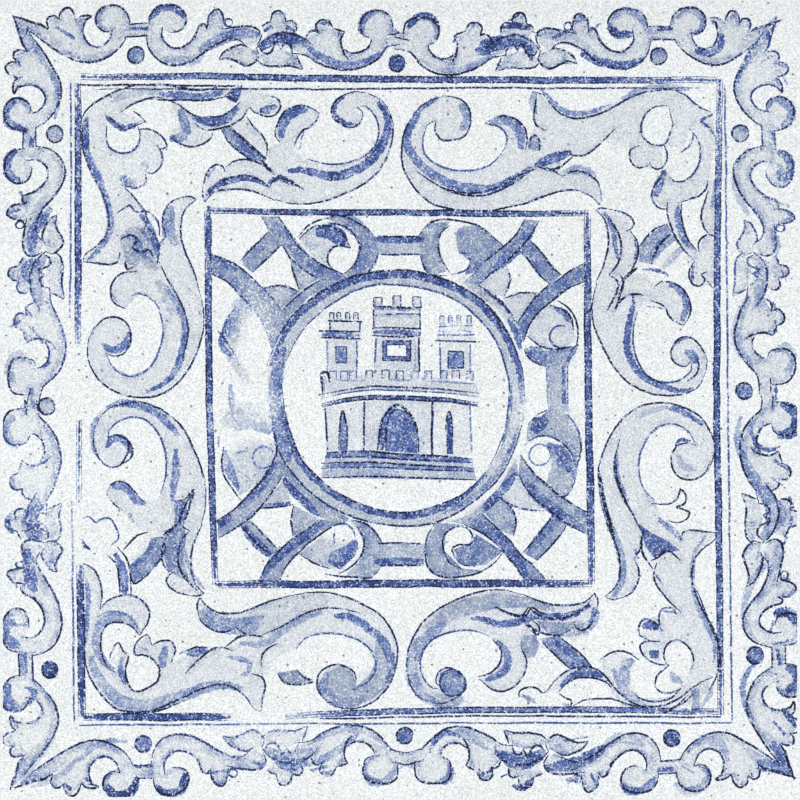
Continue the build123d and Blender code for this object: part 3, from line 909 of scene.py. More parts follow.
def quarterTopRight():
    # upper strap and link
    linePen(524,220, 517,233, 503,247, 488,259, 476,271)
    linePen(539,221, 531,235, 519,249, 503,265, 490,275, 478,285)
    linePen(529,239, 543,255, 553,269, 561,275)
    linePen(516,248, 527,259, 539,275, 549,285)
    shadePen(534,226, 523,242, 508,257, 488,273, w=10, ink=0.75)
    shadePen(524,245, 538,261, 552,279, w=10, ink=0.6)
    strapTint(524,220, 539,221, 531,235, 519,249, 503,265, 490,275, 478,285, 462,284, 476,271, 488,259,
              503,247, 517,233, fill=0.35)
    strapTint(529,239, 543,255, 561,275, 549,285, 539,275, 527,259, 516,248, fill=0.4)
    strapTint(583,264, 587,281, 571,287, 555,299, 539,311, 529,326, 523,342, 517,324, 525,311, 535,297,
              549,285, 567,273, fill=0.4)
    strapTint(462,284, 478,285, 490,295, 503,305, 517,324, 523,342, 518,336, 500,312, tone=0.8)
    strapTint(490,275, 505,265, 510,279, 503,297, 490,293, 480,285, tone=0.5)
    strapTint(503,299, 519,293, 537,293, 525,311, 517,322, tone=0.5)
    # lower strap
    linePen(583,264, 567,273, 555,283)
    linePen(587,281, 571,287, 555,299, 539,311, 529,326, 523,342)
    linePen(549,285, 535,297, 525,311, 517,324)
    shadePen(582,272, 564,282, 547,296, 533,311, 522,332, w=10, ink=0.62)
    # petals
    linePen(505,265, 510,279, 503,297)
    linePen(503,299, 519,293, 537,293)
    shadePen(478,285, 490,295, 503,305, 517,324, w=4, ink=0.9)
    linePen(478,285, 490,295, 503,305, 517,324)
    # top volute
    linePen(418,237, 428,225, 442,220, 456,221, 476,225, 490,235, 503,245)
    linePen(450,226, 440,235, 438,247, 443,263, 450,274)
    linePen(420,257, 423,267, 430,275, 446,276)
    linePen(458,253, 467,255, 470,265, 464,272, 450,275, ink=0.8)
    shadePen(440,225, 430,233, 426,248, 432,264, w=11, ink=0.42)
    shadePen(458,240, 461,233, 472,231, 484,236, w=9, ink=0.5)
    strapTint(418,237, 430,224, 450,222, 440,236, 438,248, 446,272, 430,276, 420,258, tone=0.9, fill=0.3)
    strapTint(456,240, 462,230, 480,228, 503,246, 476,272, 464,276, 470,262, 458,252, fill=0.42)
    # right volute
    linePen(557,301, 567,307, 575,320, 578,334, 576,347)
    linePen(549,305, 561,309, 571,319, 573,330)
    shadePen(553,308, 564,313, 571,324, w=6, ink=0.8)
    linePen(*ringPoints(560, 337, 11, 60, 300), ink=0.8)
    linePen(527,336, 539,346, 555,350, 571,346)
    shadePen(528,350, 536,354, 546,360, w=13, ink=0.75)
    shadePen(577,344, 573,352, 567,362, w=5, ink=0.9)
    linePen(524,350, 530,360, 545,367)
    strapTint(545,304, 562,310, 572,322, 574,340, 562,350, 540,346, 527,336, 532,320, tone=0.5)
    strapTint(524,348, 545,351, 576,346, 568,366, 546,368, 530,360, tone=0.9, fill=0.4)
    # right bar
    linePen(546,368, 547,404, ink=0.8)
    linePen(567,366, 568,404)
    shadePen(563,366, 564,404, w=6, ink=0.85)
    strapTint(546,368, 568,366, 568,412, 548,412, tone=0.6, fill=0.25)


def quarterBottomLeft():
    # left volute, worn at its top
    linePen(224,447, 222,461, 226,479, 238,495, 242,500)
    linePen(*ringPoints(264, 457, 11), ink=0.5)
    shadePen(222,425, 236,417, 254,420, 266,430, w=14, ink=0.4)
    shadePen(219,436, 219,448, w=5, ink=0.8)
    shadePen(236,453, 248,451, w=5, ink=0.75)
    shadePen(231,462, 233,476, 239,490, w=7, ink=0.65)
    linePen(274,436, 277,446, 277,456, 270,467)
    strapTint(222,430, 238,412, 262,416, 276,436, 272,446, 250,440, 232,452, 228,470, 240,496, 264,478,
              277,456, 280,440, 270,412, 250,402, 226,410, tone=0.55)
    # upper strap and link
    linePen(218,520, 236,508, 250,493, 264,477, 276,459)
    linePen(219,538, 236,528, 252,516, 266,501, 278,483, 283,475)
    shadePen(219,524, 232,516, w=14, ink=0.95)
    shadePen(238,508, 252,496, 265,480, 276,463, w=8, ink=0.8)
    linePen(240,524, 254,540, 270,554)
    linePen(250,520, 264,534, 279,550)
    shadePen(243,527, 256,542, 271,556, w=8, ink=0.85)
    strapTint(218,520, 236,508, 250,493, 264,477, 276,459, 283,475, 266,501, 252,516, 236,528, 219,538,
              fill=0.3)
    strapTint(240,524, 250,520, 264,534, 279,550, 270,556, 254,540, fill=0.35)
    strapTint(260,581, 266,566, 274,556, 288,542, 305,530, 319,519, 345,522, 333,526, 317,536, 301,550,
              286,566, 280,582, fill=0.3)
    strapTint(276,459, 277,440, 288,467, 305,487, 325,504, 349,518, 345,524, 319,516, 307,504, 292,490,
              283,475, fill=0.3)
    strapTint(262,507, 276,507, 292,504, 284,480, 270,496, tone=0.8, fill=0.15)
    strapTint(294,505, 291,520, 293,536, 305,530, 318,518, tone=0.8, fill=0.25)
    # lower strap
    linePen(260,581, 266,566, 274,556, 288,542, 305,530, 319,519)
    linePen(280,582, 286,566, 301,550, 317,536, 333,526, 345,522)
    shadePen(264,576, 274,560, 290,546, 308,533, 324,522, w=8, ink=0.85)
    # petals
    linePen(260,508, 276,507, 294,504)
    linePen(294,505, 291,520, 293,536)
    shadePen(262,505, 278,505, 291,502, w=4, ink=0.7)
    shadePen(283,478, 292,490, 307,504, 319,516, w=7, ink=0.95)
    # bottom volute
    linePen(353,520, 367,524, 377,534, 383,544)
    linePen(357,526, 364,540, 361,556, 349,568, 339,573)
    linePen(335,528, 334,536, 335,544, ink=0.8)
    linePen(339,525, 346,524, 353,530, 355,537, ink=0.6)
    shadePen(361,525, 371,538, 372,554, 362,568, w=13, ink=0.4)
    shadePen(356,540, 352,549, 342,554, 334,562, w=10, ink=0.85)
    linePen(300,553, 313,562, 331,568)
    linePen(325,573, 341,576, 357,577, 371,577, 381,566)
    strapTint(350,519, 368,524, 384,545, 382,566, 370,577, 344,577, 360,560, 364,540, tone=0.8, fill=0.25)
    strapTint(300,553, 322,536, 334,540, 344,544, 357,538, 356,554, 334,568, 314,562, tone=0.6, fill=0.15)
    strapTint(330,552, 345,546, 356,540, 355,556, 340,569, 328,562, tone=0.6, fill=0.85)
    # left bar
    shadePen(231,384, 232,400, 233,412, w=6, ink=0.5)
    linePen(250,384, 252,412, ink=0.3)


def quarterBottomRight():
    # right volute
    linePen(527,425, 536,415, 548,410)
    linePen(568,415, 578,431, 581,449, 576,467)
    shadePen(533,432, 539,423, 546,418, w=13, ink=0.85)
    linePen(524,445, 534,438, 548,436, 562,443, 572,455, 575,466, ink=0.9)
    linePen(*ringPoints(539, 455, 10.5), ink=0.5)
    shadePen(547,444, 558,449, 566,458, 570,472, w=9, ink=0.8)
    shadePen(557,458, 562,468, w=9, ink=0.6)
    linePen(524,461, 536,475, 550,487, 562,497, 570,490, 576,474, ink=0.8)
    strapTint(527,426, 548,410, 568,414, 580,436, 580,456, 573,458, 560,440, 540,436, 526,442, fill=0.2)
    strapTint(545,443, 562,446, 574,462, 572,486, 562,497, 546,482, 552,462, tone=0.8, fill=0.25)
    # upper strap and link
    linePen(520,455, 528,467, 542,481, 556,493, 570,503, 587,512)
    linePen(518,475, 526,489, 540,503, 552,513, 568,524, 588,534)
    shadePen(521,477, 532,491, 546,504, 560,515, 584,530, w=9, ink=0.8)
    linePen(566,525, 554,542, 536,560)
    linePen(553,513, 540,532, 522,552)
    shadePen(553,520, 540,537, 527,552, w=9, ink=0.6)
    strapTint(520,455, 528,467, 542,481, 556,493, 570,503, 587,512, 588,534, 568,524, 552,513, 540,503,
              526,489, 518,475, fill=0.4)
    strapTint(566,525, 554,542, 536,560, 522,552, 540,532, 553,513, fill=0.4)
    strapTint(483,514, 499,530, 511,542, 522,556, 532,564, 545,579, 525,580, 519,572, 509,558, 497,544,
              481,532, 463,524, fill=0.4)
    strapTint(516,458, 518,475, 507,485, 495,497, 483,514, 463,524, 450,521, 470,514, 497,490, fill=0.3)
    strapTint(495,497, 501,497, 509,505, 516,519, 514,536, 499,530, 484,512, tone=0.8, fill=0.3)
    strapTint(501,497, 511,505, 532,510, 543,508, 526,489, 518,475, tone=0.5)
    # lower strap
    linePen(483,514, 499,530, 511,542, 522,556, 532,564, 545,579)
    linePen(463,524, 481,532, 497,544, 509,558, 519,572, 525,580)
    shadePen(468,519, 486,528, 502,543, 514,558, 527,576, w=9, ink=0.8)
    # petals
    linePen(499,497, 509,505, 516,519, 514,535)
    linePen(501,497, 511,505, 532,510, 544,510, ink=0.8)
    shadePen(516,474, 507,485, 495,497, 484,510, w=8, ink=0.9)
    shadePen(496,506, 505,514, 510,526, w=10, ink=0.4)
    # bottom volute
    linePen(436,522, 428,533, 425,548, 427,566, 435,574, 447,577, 465,576, 481,571, 495,562, 503,552)
    linePen(463,569, 449,562, 443,548, 444,536, 453,527, 463,526, 471,532, 472,540, 469,544, 459,544,
            452,548, 455,556, 463,565, 475,566)
    shadePen(434,530, 432,546, 436,562, 447,572, w=12, ink=0.42)
    shadePen(457,552, 470,556, 484,552, w=17, ink=0.7)
    strapTint(436,522, 425,548, 430,572, 450,577, 485,570, 462,568, 444,550, 446,532, 460,524, fill=0.35)
    strapTint(453,549, 470,543, 476,534, 503,551, 486,564, 464,566, fill=0.6)


mottledPatches = [    # between the strapwork, the inner frame and the ring: width, ink, then the points
    (6, 0.7, 224,330, 222,345, 232,356), (10, 0.5, 232,306, 244,300, 254,300),
    (12, 0.45, 232,430, 250,421, 272,432), (8, 0.5, 226,450, 228,468, 238,484),
    (6, 0.4, 238,470, 252,480), (6, 0.8, 508,318, 516,334, 520,350),
    (6, 0.55, 566,440, 575,458, 572,480), (5, 0.6, 589,500, 590,584), (5, 0.6, 540,583, 590,583),
]


def drawBars():
    for width, ink, *along in mottledPatches:
        shadePen(*along, w=width, ink=ink)
    # the bars between the volutes, above and below the ring
    for y, low, dark in ((237, 255, 240), (543, 565, 561)):
        rulePen(378,y, 420,y)
        rulePen(380,low, 420,low)
        shadePen(374,dark, 398,dark, 424,dark, w=6, ink=0.85)
        strapTint(372,y, 424,y, 424,low, 372,low, tone=0.6, fill=0.25)


ring = {
    "centre": (397, 400),
    "blockStep": 15,          # degrees, the length of one block of the ring's wash
    "blockTone": 0.8,
}


def onRing(points):
    # (degrees, radius) pairs about the ring's centre, clockwise from the right
    angles = np.radians(points[:, 0])
    x, y = ring["centre"]
    return np.column_stack([x + points[:, 1] * np.cos(angles), y + points[:, 1] * np.sin(angles)])


def drawRing():
    outer = (8,128, 30,128, 45,127.5, 60,127.3, 75,128, 85,126.3, 95,125, 110,125, 130,126, 150,128,
             165,127, 180,127)
    upper = (194,134, 210,134.3, 225,133, 240,131, 255,130.3, 270,129.5, 285,129, 300,130, 315,130.5,
             330,129, 345,128.5, 362,128)
    inner = (38,114, 55,114.5, 80,113.2, 95,112, 105,110.3, 120,109.5, 130,110, 148,112, 163,111.3,
             175,112.5, 188,116)
    innerUpper = (200,117, 215,117, 232,116.3, 248,116.5, 262,117, 268,115, 285,114.6, 300,115.5, 315,115,
                  330,115, 350,113, 368,111.5, 380,112.3, 396,113.4)
    pen(onRing, *outer, ink=0.9)
    pen(onRing, *upper)
    pen(onRing, *inner)
    pen(onRing, *innerUpper, ink=0.8)
    shade(onRing, 195,130, 210,129.5, 225,129.3, 240,128, 255,126.5, 270,125.5, 285,125.5, 300,126.5,
          315,127, 330,126, 345,125, 362,124.5, w=7.5, ink=0.95)
    shade(onRing, 40,116, 60,117, 75,117.3, 90,116, 105,113.6, 120,113, 135,114, 150,115, 165,113.6,
          178,115, w=6, ink=0.95)
    shade(onRing, 150,123, 165,122, 180,122, 195,123, 205,124, w=11, ink=0.7)
    shade(onRing, 12,124, 30,124, 50,123, 70,123, w=5, ink=0.6)
    shade(onRing, 350,116, 368,114, 385,115, w=3.5, ink=0.7)
    edges = [np.array(e, dtype=float).reshape(-1, 2).T for e in (outer + upper, inner + innerUpper)]
    step = ring["blockStep"]
    for start in range(20, 380, step):
        (x0, x1), (y0, y1) = ([np.interp(a, *edge) for a in (start, start + step)] for edge in edges)
        middle, end = start + step / 2, start + step
        wash(onRing, start, x0, middle, (x0 + x1) / 2, end, x1, end, y1, middle, (y0 + y1) / 2, start, y0,
             kind="strap", tone=ring["blockTone"])


def drawCastle():
    def box(x0, y0, x1, y1, **how):
        rulePen(x0, y0, x1, y0, x1, y1, x0, y1, x0, y0, **how)

    def tooth(left, right, top, foot, ink=0.9):
        rulePen(left, foot, left, top, right, top, right, foot, w=0.85, ink=ink)
        shadePen(left + 1.5, top + 1, left + 1.5, foot, w=3, ink=0.5)
        castleTint(left, top, right, top, right, foot, left, foot)

    # left tower
    for left in (330, 337, 346, 354):
        tooth(left, left + 4, 313, 320)
    rulePen(328,321, 362,322)
    rulePen(330,322, 330,332)
    rulePen(360,322, 360,332, ink=0.8)
    rulePen(319,331, 361,332)
    rulePen(321,338, 361,339)
    shadePen(322,335, 340,335, 360,336, w=6, ink=0.7)
    rulePen(327,341, 328,374, ink=0.5)
    rulePen(357,341, 357,374, ink=0.7)
    castleTint(329,321, 361,321, 361,340, 357,342, 357,376, 327,376, 327,340, 321,337, 321,332, 329,330,
               tone=0.8)
    box(336, 347, 347, 363, w=0.8, ink=0.8)
    castleTint(336,347, 347,347, 347,363, 336,363, fill=0.6)
    # middle tower
    for left, top in ((374, 298), (393, 296), (413, 297)):
        tooth(left, left + 8, top, 307)
    rulePen(374,307, 422,308)
    shadePen(375,309, 398,309, 421,310, w=3.5, ink=0.6)
    rulePen(374,316, 400,314, 420,315, ink=0.8)
    shadePen(376,317, 398,316, 420,317, w=4, ink=0.35)
    rulePen(374,310, 374,328)
    rulePen(420,310, 420,328)
    rulePen(372,329, 398,328, 421,329)
    shadePen(373,333, 384,332, 398,332, 421,334, w=5.5, ink=0.9)
    linePen(372,336, 398,337, 420,336)
    rulePen(376,338, 375,374, ink=0.7)
    rulePen(419,338, 419,372, w=1.1)
    shadePen(415,340, 415,372, w=5, ink=0.3)
    box(383, 341, 411, 361)
    box(387, 345, 407, 357, w=0.8)
    castleTint(383,341, 411,341, 411,361, 383,361, 383,341, 387,345, 387,357, 407,357, 407,345, 387,345,
               fill=0.75)
    castleTint(374,308, 421,308, 421,338, 419,340, 419,372, 375,374, 375,357, 407,357, 407,345, 387,345,
               387,357, 375,357, 375,338, 372,334, tone=0.95)
    # right tower
    for left in (440, 448, 457, 467):
        tooth(left, left + 4, 316, 324, ink=0.7)
    rulePen(439,326, 472,326, ink=0.6)
    shadePen(438,330, 444,332, w=5, ink=0.8)
    shadePen(458,331, 471,332, w=5, ink=0.9)
    rulePen(437,335, 474,335, ink=0.7)
    rulePen(435,341, 476,342, ink=0.9)
    rulePen(440,344, 440,374, ink=0.7)
    rulePen(470,344, 470,374, ink=0.5)
    box(448, 352, 463, 368)
    castleTint(448,352, 463,352, 463,368, 448,368, fill=0.65)
    castleTint(440,324, 472,324, 474,341, 470,344, 470,376, 440,376, 440,344, 436,341, tone=0.7)
    # parapet
    for left, ink in ((330, 0.6), (341, 0.7), (350, 0.6), (366, 0.9), (382, 1.0), (396, 1.0),
                      (411, 0.5), (424, 0.7), (440, 0.8), (452, 0.9), (466, 0.6)):
        tooth(left, left + 7, 371, 379, ink=ink)
    linePen(323,394, 322,382, 322,373, 328,373, 330,383, w=1.2)
    shadePen(325,376, 324,392, w=5, ink=0.6)
    rulePen(337,380, 366,381, ink=0.4)
    rulePen(389,380, 411,380, ink=0.4)
    rulePen(431,381, 476,384, ink=0.4)
    castleTint(322,378, 400,372, 476,384, 478,394, 420,388, 375,387, 322,395)
    # cornice
    for low, w, ink in ((0, 0.9, 1.0), (3.5, 0.8, 0.7), (9, 0.9, 1.0), (12.5, 0.9, 1.0)):
        linePen(322,395 + low, 345,390 + low, 375,386.5 + low, 418,388 + low, 450,390 + low,
                479,393.5 + low, w=w, ink=ink)
    shadePen(322,397, 345,392, 375,388.5, 418,390, 450,392, 478,395.5, w=3.5, ink=0.4)
    shadePen(322,406, 345,401, 375,397.5, 418,399, 450,401, 478,404.5, w=4)
    # wall
    rulePen(325,408, 328,450, ink=0.9)
    rulePen(470,405, 471,452, ink=0.5)
    rulePen(364,402, 364,451)
    rulePen(432,402, 432,455, w=1.2)
    shadePen(432,402, 432,454, w=3.5, ink=0.9)
    shadePen(364,404, 364,450, w=3.5, ink=0.7)
    shadePen(366,440, 380,438, w=8, ink=0.25)
    castleTint(325,408, 364,402, 364,452, 328,451, tone=0.55)
    castleTint(364,402, 400,398, 432,401, 432,455, 364,452, tone=0.8, fill=0.08)
    castleTint(432,401, 470,405, 471,456, 432,455, tone=0.5)
    linePen(339,451, 340,425, 343,411, 347,425, 347,451)
    castleTint(340,425, 343,412, 346,425, 347,451, 340,451, fill=0.6)
    castleTint(447,418, 449,412, 452,418, 452,454, 447,454, fill=1.0)
    linePen(447,454, 447,418, 449,411, 452,418, 452,454, w=0.8)
    # door
    linePen(378,450, 380,427, 386,413, 397,405, 406,410, 414,421, 418,435, 418,452, w=1.3)
    linePen(386,450, 386,427, 389,416, 397,410, 405,412, ink=0.9)
    shadePen(382,450, 383,428, 388,415, 397,407, w=5.5)
    castleTint(386,451, 386,427, 389,416, 397,410, 405,411, 413,421, 417,435, 417,453, fill=0.8)
    # plinth
    for left, right, high, low, w, ink in ((327, 472, 452, 459, 1.1, 1.0), (325, 473, 457.5, 463, 0.9, 0.9),
                                           (321, 474, 463, 468.5, 1.0, 1.0), (320, 476, 468, 472, 0.9, 0.8),
                                           (321, 476, 477.5, 479.5, 1.0, 1.0)):
        middle = (high + low) / 2
        linePen(left, high, 357,high - 1, 400,middle - 1.5, 435,middle, right, low, w=w, ink=ink)
    castleTint(327,452, 357,451, 400,454, 435,455, 470,459, 470,463, 435,462, 400,460, 357,457, 325,458,
               fill=0.7)
    shadePen(322,466, 357,465, 400,467, 435,468, 474,471, w=4, ink=0.7)
    shadePen(324,473, 357,471, 400,473, w=6, ink=0.4)
    castleTint(327,452, 472,459, 476,480, 321,478, fill=0.2)


# Short names for the nodes that the ribbons and the materials are made of
class Nodes:
    def __init__(self, tree):
        self.tree = tree
        tree.nodes.clear()

    def feed(self, socket, value):
        if isinstance(value, bpy.types.NodeSocket):
            self.tree.links.new(value, socket)
        else:
            socket.default_value = value

    def add(self, kind, inputs=(), **values):
        # inputs are by name or number, each a value or another node's output
        made = self.tree.nodes.new(kind)
        for key, value in values.items():
            setattr(made, key, value)
        for name, value in dict(inputs).items():
            self.feed(made.inputs[name], value)
        return made

    def math(self, operation, a, b=0.0, c=0.0, clamp=False):
        made = self.add("ShaderNodeMath", enumerate((a, b, c)), operation=operation, use_clamp=clamp)
        return made.outputs[0]

    def vector(self, operation, inputs):
        return self.add("ShaderNodeVectorMath", inputs, operation=operation).outputs[0]

    def noise(self, size, detail, rough, shift):
        # size is how large the blobs are, in metres
        inputs = {"Vector": self.place, "W": shift, "Scale": 1 / size, "Detail": detail, "Roughness": rough}
        return self.add("ShaderNodeTexNoise", inputs, noise_dimensions="4D").outputs["Fac"]

    def ramp(self, value, low, high, outLow=0.0, outHigh=1.0):
        names = ("Value", "From Min", "From Max", "To Min", "To Max")
        inputs = zip(names, (value, low, high, outLow, outHigh))
        return self.add("ShaderNodeMapRange", inputs, interpolation_type="SMOOTHSTEP").outputs[0]

    def attribute(self, name):
        return self.add("ShaderNodeAttribute", attribute_name=name).outputs["Fac"]

    def mix(self, factor, a, b, blend="MIX"):
        inputs = {"Factor": factor, 6: a, 7: b}
        return self.add("ShaderNodeMix", inputs, data_type="RGBA", blend_type=blend).outputs[2]

    def finish(self, colour, roughness, height, bump, gloss=0.5):
        # The surface: its colour, how rough and glossy it is, and its fine relief
        strength, depth = bump
        relief = self.add("ShaderNodeBump", {"Height": height, "Strength": strength, "Distance": depth})
        shader = self.add("ShaderNodeBsdfPrincipled", {
            "Base Color": colour, "Roughness": roughness, "Specular IOR Level": gloss,
            "Normal": relief.outputs[0]})
        self.add("ShaderNodeOutputMaterial", {0: shader.outputs[0]})


# Strokes to ribbons: one Geometry Nodes tree turns every path into a flat ribbon of three points across
def ribbonTree():
    tree = bpy.data.node_groups.new("brushRibbons", "GeometryNodeTree")
    sockets = {}
    for name, kind in (("Geometry", "Geometry"), ("Wobble", "Float"), ("Wobble Size", "Float"),
                       ("Seed", "Int"), ("Material", "Material")):
        made = tree.interface.new_socket(name, in_out="INPUT", socket_type="NodeSocket" + kind)
        sockets[name] = made.identifier
    tree.interface.new_socket("Geometry", in_out="OUTPUT", socket_type="NodeSocketGeometry")

    n = Nodes(tree)
    given = n.add("NodeGroupInput").outputs
    paths = n.add("GeometryNodeMeshToCurve", {"Mesh": given["Geometry"]})
    # the hand's wobble: noise about nought, flat on the board
    position = n.add("GeometryNodeInputPosition").outputs[0]
    sizes = n.add("ShaderNodeCombineXYZ", {axis: given["Wobble Size"] for axis in "XYZ"})
    closer = n.vector("DIVIDE", {0: position, 1: sizes.outputs[0]})
    stray = n.add("ShaderNodeTexNoise", {"Vector": closer, "W": given["Seed"], "Scale": 1, "Detail": 2},
                  noise_dimensions="4D")
    centred = n.vector("SUBTRACT", {0: stray.outputs["Color"], 1: (0.5, 0.5, 0.5)})
    flat = n.vector("MULTIPLY", {0: centred, 1: (4, 4, 0)})
    scaled = n.vector("SCALE", {0: flat, "Scale": given["Wobble"]})
    moved = n.add("GeometryNodeSetPosition", {"Geometry": paths.outputs[0], "Offset": scaled})
    upright = n.add("GeometryNodeSetCurveNormal", {"Curve": moved.outputs[0]}, mode="Z_UP")
    # a flat profile that knows how far it is from the ribbon's edge
    profile = n.add("GeometryNodeCurvePrimitiveLine", {"Start": (-1, 0, 0), "End": (1, 0, 0)})
    three = n.add("GeometryNodeResampleCurve", {"Curve": profile.outputs[0], "Count": 3})
    axes = n.add("ShaderNodeSeparateXYZ", {0: position})
    inward = n.math("SUBTRACT", 1, n.math("ABSOLUTE", axes.outputs["X"]))
    marked = n.add("GeometryNodeStoreNamedAttribute", {
        "Name": "across", "Geometry": three.outputs[0], "Value": inward}, data_type="FLOAT", domain="POINT")
    width = n.add("GeometryNodeInputNamedAttribute", {"Name": "halfWidth"}, data_type="FLOAT")
    ribbon = n.add("GeometryNodeCurveToMesh", {
        "Curve": upright.outputs[0], "Profile Curve": marked.outputs[0], "Scale": width.outputs["Attribute"]})
    real = n.add("GeometryNodeRealizeInstances", {0: ribbon.outputs[0]})
    painted = n.add("GeometryNodeSetMaterial", {"Geometry": real.outputs[0], "Material": given["Material"]})
    n.add("NodeGroupOutput", {0: painted.outputs[0]})
    return tree, sockets


def addObject(name, data):
    made = bpy.data.objects.new(name, data)
    bpy.context.collection.objects.link(made)
    return made


def makeRibbons(material):
    points = np.vstack([s[1] for s in strokes])
    starts = np.cumsum([0] + [len(s[1]) for s in strokes])
    edges = [(i, i + 1) for a, b in zip(starts, starts[1:]) for i in range(a, b - 1)]
    mesh = bpy.data.meshes.new("brushPaths")
    mesh.from_pydata([(x, -y, 0) for x, y in points], edges, [])
    values = {
        "halfWidth": np.concatenate([s[2] for s in strokes]),
        "ink": np.concatenate([np.full(len(s[1]), s[3]) for s in strokes]),
        "layer": np.concatenate([np.full(len(s[1]), s[0], dtype=float) for s in strokes]),
    }
    for name, value in values.items():
        mesh.attributes.new(name, "FLOAT", "POINT").data.foreach_set("value", value.astype(np.float32))
    paths = addObject("brushPaths", mesh)
    modifier = paths.modifiers.new("ribbons", "NODES")
    modifier.node_group, sockets = ribbonTree()
    for name, value in (("Wobble", board["wobble"]), ("Wobble Size", board["wobbleSize"]),
                        ("Seed", board["seed"]), ("Material", material)):
        modifier[sockets[name]] = value
    made = bpy.data.meshes.new_from_object(paths.evaluated_get(bpy.context.evaluated_depsgraph_get()))
    points = np.zeros(len(made.vertices) * 3)
    made.vertices.foreach_get("co", points)
    low, high = board["margin"], board["side"] - board["margin"]
    out = {
        "points": np.clip(points.reshape(-1, 3)[:, :2] * (1, -1), low, high),
        "quads": np.array([list(p.vertices) for p in made.polygons]),
    }
    for name in ("across", "halfWidth", "ink", "layer"):
        out[name] = np.zeros(len(made.vertices))
        made.attributes[name].data.foreach_get("value", out[name])
    bpy.data.objects.remove(paths)
    bpy.data.meshes.remove(made)
    return out


# The tile: the part's own skin, with the glazed face cut along every brush stroke
def boardToFace(points):
    x = tileLow[0] + points[:, 0] * unitSize
    y = tileHigh[1] - points[:, 1] * unitSize
    return np.column_stack([x, y, np.full(len(points), tileHigh[2])])


def faceToBoard(points):
    return np.column_stack([(points[:, 0] - tileLow[0]) / unitSize, (tileHigh[1] - points[:, 1]) / unitSize])


touching = 1e-6    # metres, nearer than this counts as the same place
levelFace = 0.999    # how straight up the flat face's normal points


def openSkin():
    # The skin without its flat face, and the loop round the opening
    skin = bmesh.new()
    skin.from_mesh(bpy.data.objects["porcelain_tile"].data)
    bmesh.ops.remove_doubles(skin, verts=skin.verts, dist=touching)
    faceHeight = tileHigh[2] - touching
    flatFaces = [f for f in skin.faces if f.normal.z > levelFace and f.calc_center_median().z > faceHeight]
    bmesh.ops.delete(skin, geom=flatFaces, context="FACES")
    skin.verts.ensure_lookup_table()
    skin.verts.index_update()
    rim = [e for e in skin.edges if e.is_boundary]
    nextOne = {}
    for edge in rim:
        loop = edge.link_loops[0]
        nextOne[edge.other_vert(loop.vert).index] = loop.vert.index
    start = next(iter(nextOne))
    loopOrder = [start]
    while nextOne[loopOrder[-1]] != start:
        loopOrder.append(nextOne[loopOrder[-1]])
    points = np.array([v.co for v in skin.verts])
    faces = [[v.index for v in f.verts] for f in skin.faces]
    skin.free()
    return points, faces, loopOrder


def affine(triangles, values):
    # a*x + b*y + c through each triangle's three values
    matrix = np.concatenate([triangles, np.ones((len(triangles), 3, 1))], axis=2)
    good = np.abs(np.linalg.det(matrix)) > 1e-9
    result = np.zeros((len(triangles), 3))
    result[good] = np.linalg.solve(matrix[good], values[good][:, :, None])[:, :, 0]
    return result


def insideWhich(spots, triangles):
    # Pairs of a spot and a triangle that it lies in, found through a grid of cells
    cell = board["cell"]
    across = int(board["side"] / cell) + 2
    spotCell = (spots // cell).astype(int)
    key = spotCell[:, 0] * across + spotCell[:, 1]
    order = np.argsort(key, kind="stable")
    firstOf = np.searchsorted(key[order], np.arange(across * across + 1))
    low = np.clip((triangles.min(axis=1) // cell).astype(int), 0, across - 1)
    high = np.clip((triangles.max(axis=1) // cell).astype(int), 0, across - 1)
    span = high - low + 1
    cells = span[:, 0] * span[:, 1]
    owner = np.repeat(np.arange(len(triangles)), cells)
    step = np.arange(len(owner)) - np.repeat(np.cumsum(cells) - cells, cells)
    covered = (low[owner, 0] + step // span[owner, 1]) * across + low[owner, 1] + step % span[owner, 1]
    held = firstOf[covered + 1] - firstOf[covered]
    pairOwner = np.repeat(owner, held)
    step = np.arange(len(pairOwner)) - np.repeat(np.cumsum(held) - held, held)
    spot = order[np.repeat(firstOf[covered], held) + step]
    a, b, c = (triangles[pairOwner, i] for i in range(3))
    p = spots[spot]

    def side(start, end):
        along, away = end - start, p - start
        return along[:, 0] * away[:, 1] - along[:, 1] * away[:, 0]
    sides = np.stack([side(a, b), side(b, c), side(c, a)])
    inside = (sides >= 0).all(axis=0) | (sides <= 0).all(axis=0)
    return spot[inside], pairOwner[inside]


def insideOutline(spots, outline):
    inside = np.zeros(len(spots), dtype=bool)
    for a, b in zip(outline, np.roll(outline, -1, axis=0)):
        crosses = (a[1] > spots[:, 1]) != (b[1] > spots[:, 1])
        with np.errstate(divide="ignore", invalid="ignore"):
            at = a[0] + (spots[:, 1] - a[1]) / (b[1] - a[1]) * (b[0] - a[0])
        inside ^= crosses & (spots[:, 0] < at)
    return inside


def distanceFromLines(points, ribbons, sides):
    # How far each point is from the middle of a contour
    isLine = ribbons["layer"][sides[:, 0]].round() == lineLayer
    centre = (ribbons["across"][sides] > 0.9).all(axis=1) & isLine
    ends = ribbons["points"][sides[centre]]
    lengths = np.linalg.norm(ends[:, 1] - ends[:, 0], axis=1)
    steps = np.ceil(lengths / board["sampleStep"]).astype(int) + 1
    owner = np.repeat(np.arange(len(ends)), steps)
    part = (np.arange(len(owner)) - np.repeat(np.cumsum(steps) - steps, steps)) / np.repeat(steps, steps)
    samples = ends[owner, 0] + (ends[owner, 1] - ends[owner, 0]) * part[:, None]
    tree = KDTree(len(samples))
    for index, (x, y) in enumerate(samples.tolist()):
        tree.insert((x, y, 0), index)
    tree.balance()
    return np.array([min(tree.find((x, y, 0))[2], board["farFromLine"]) for x, y in points.tolist()])


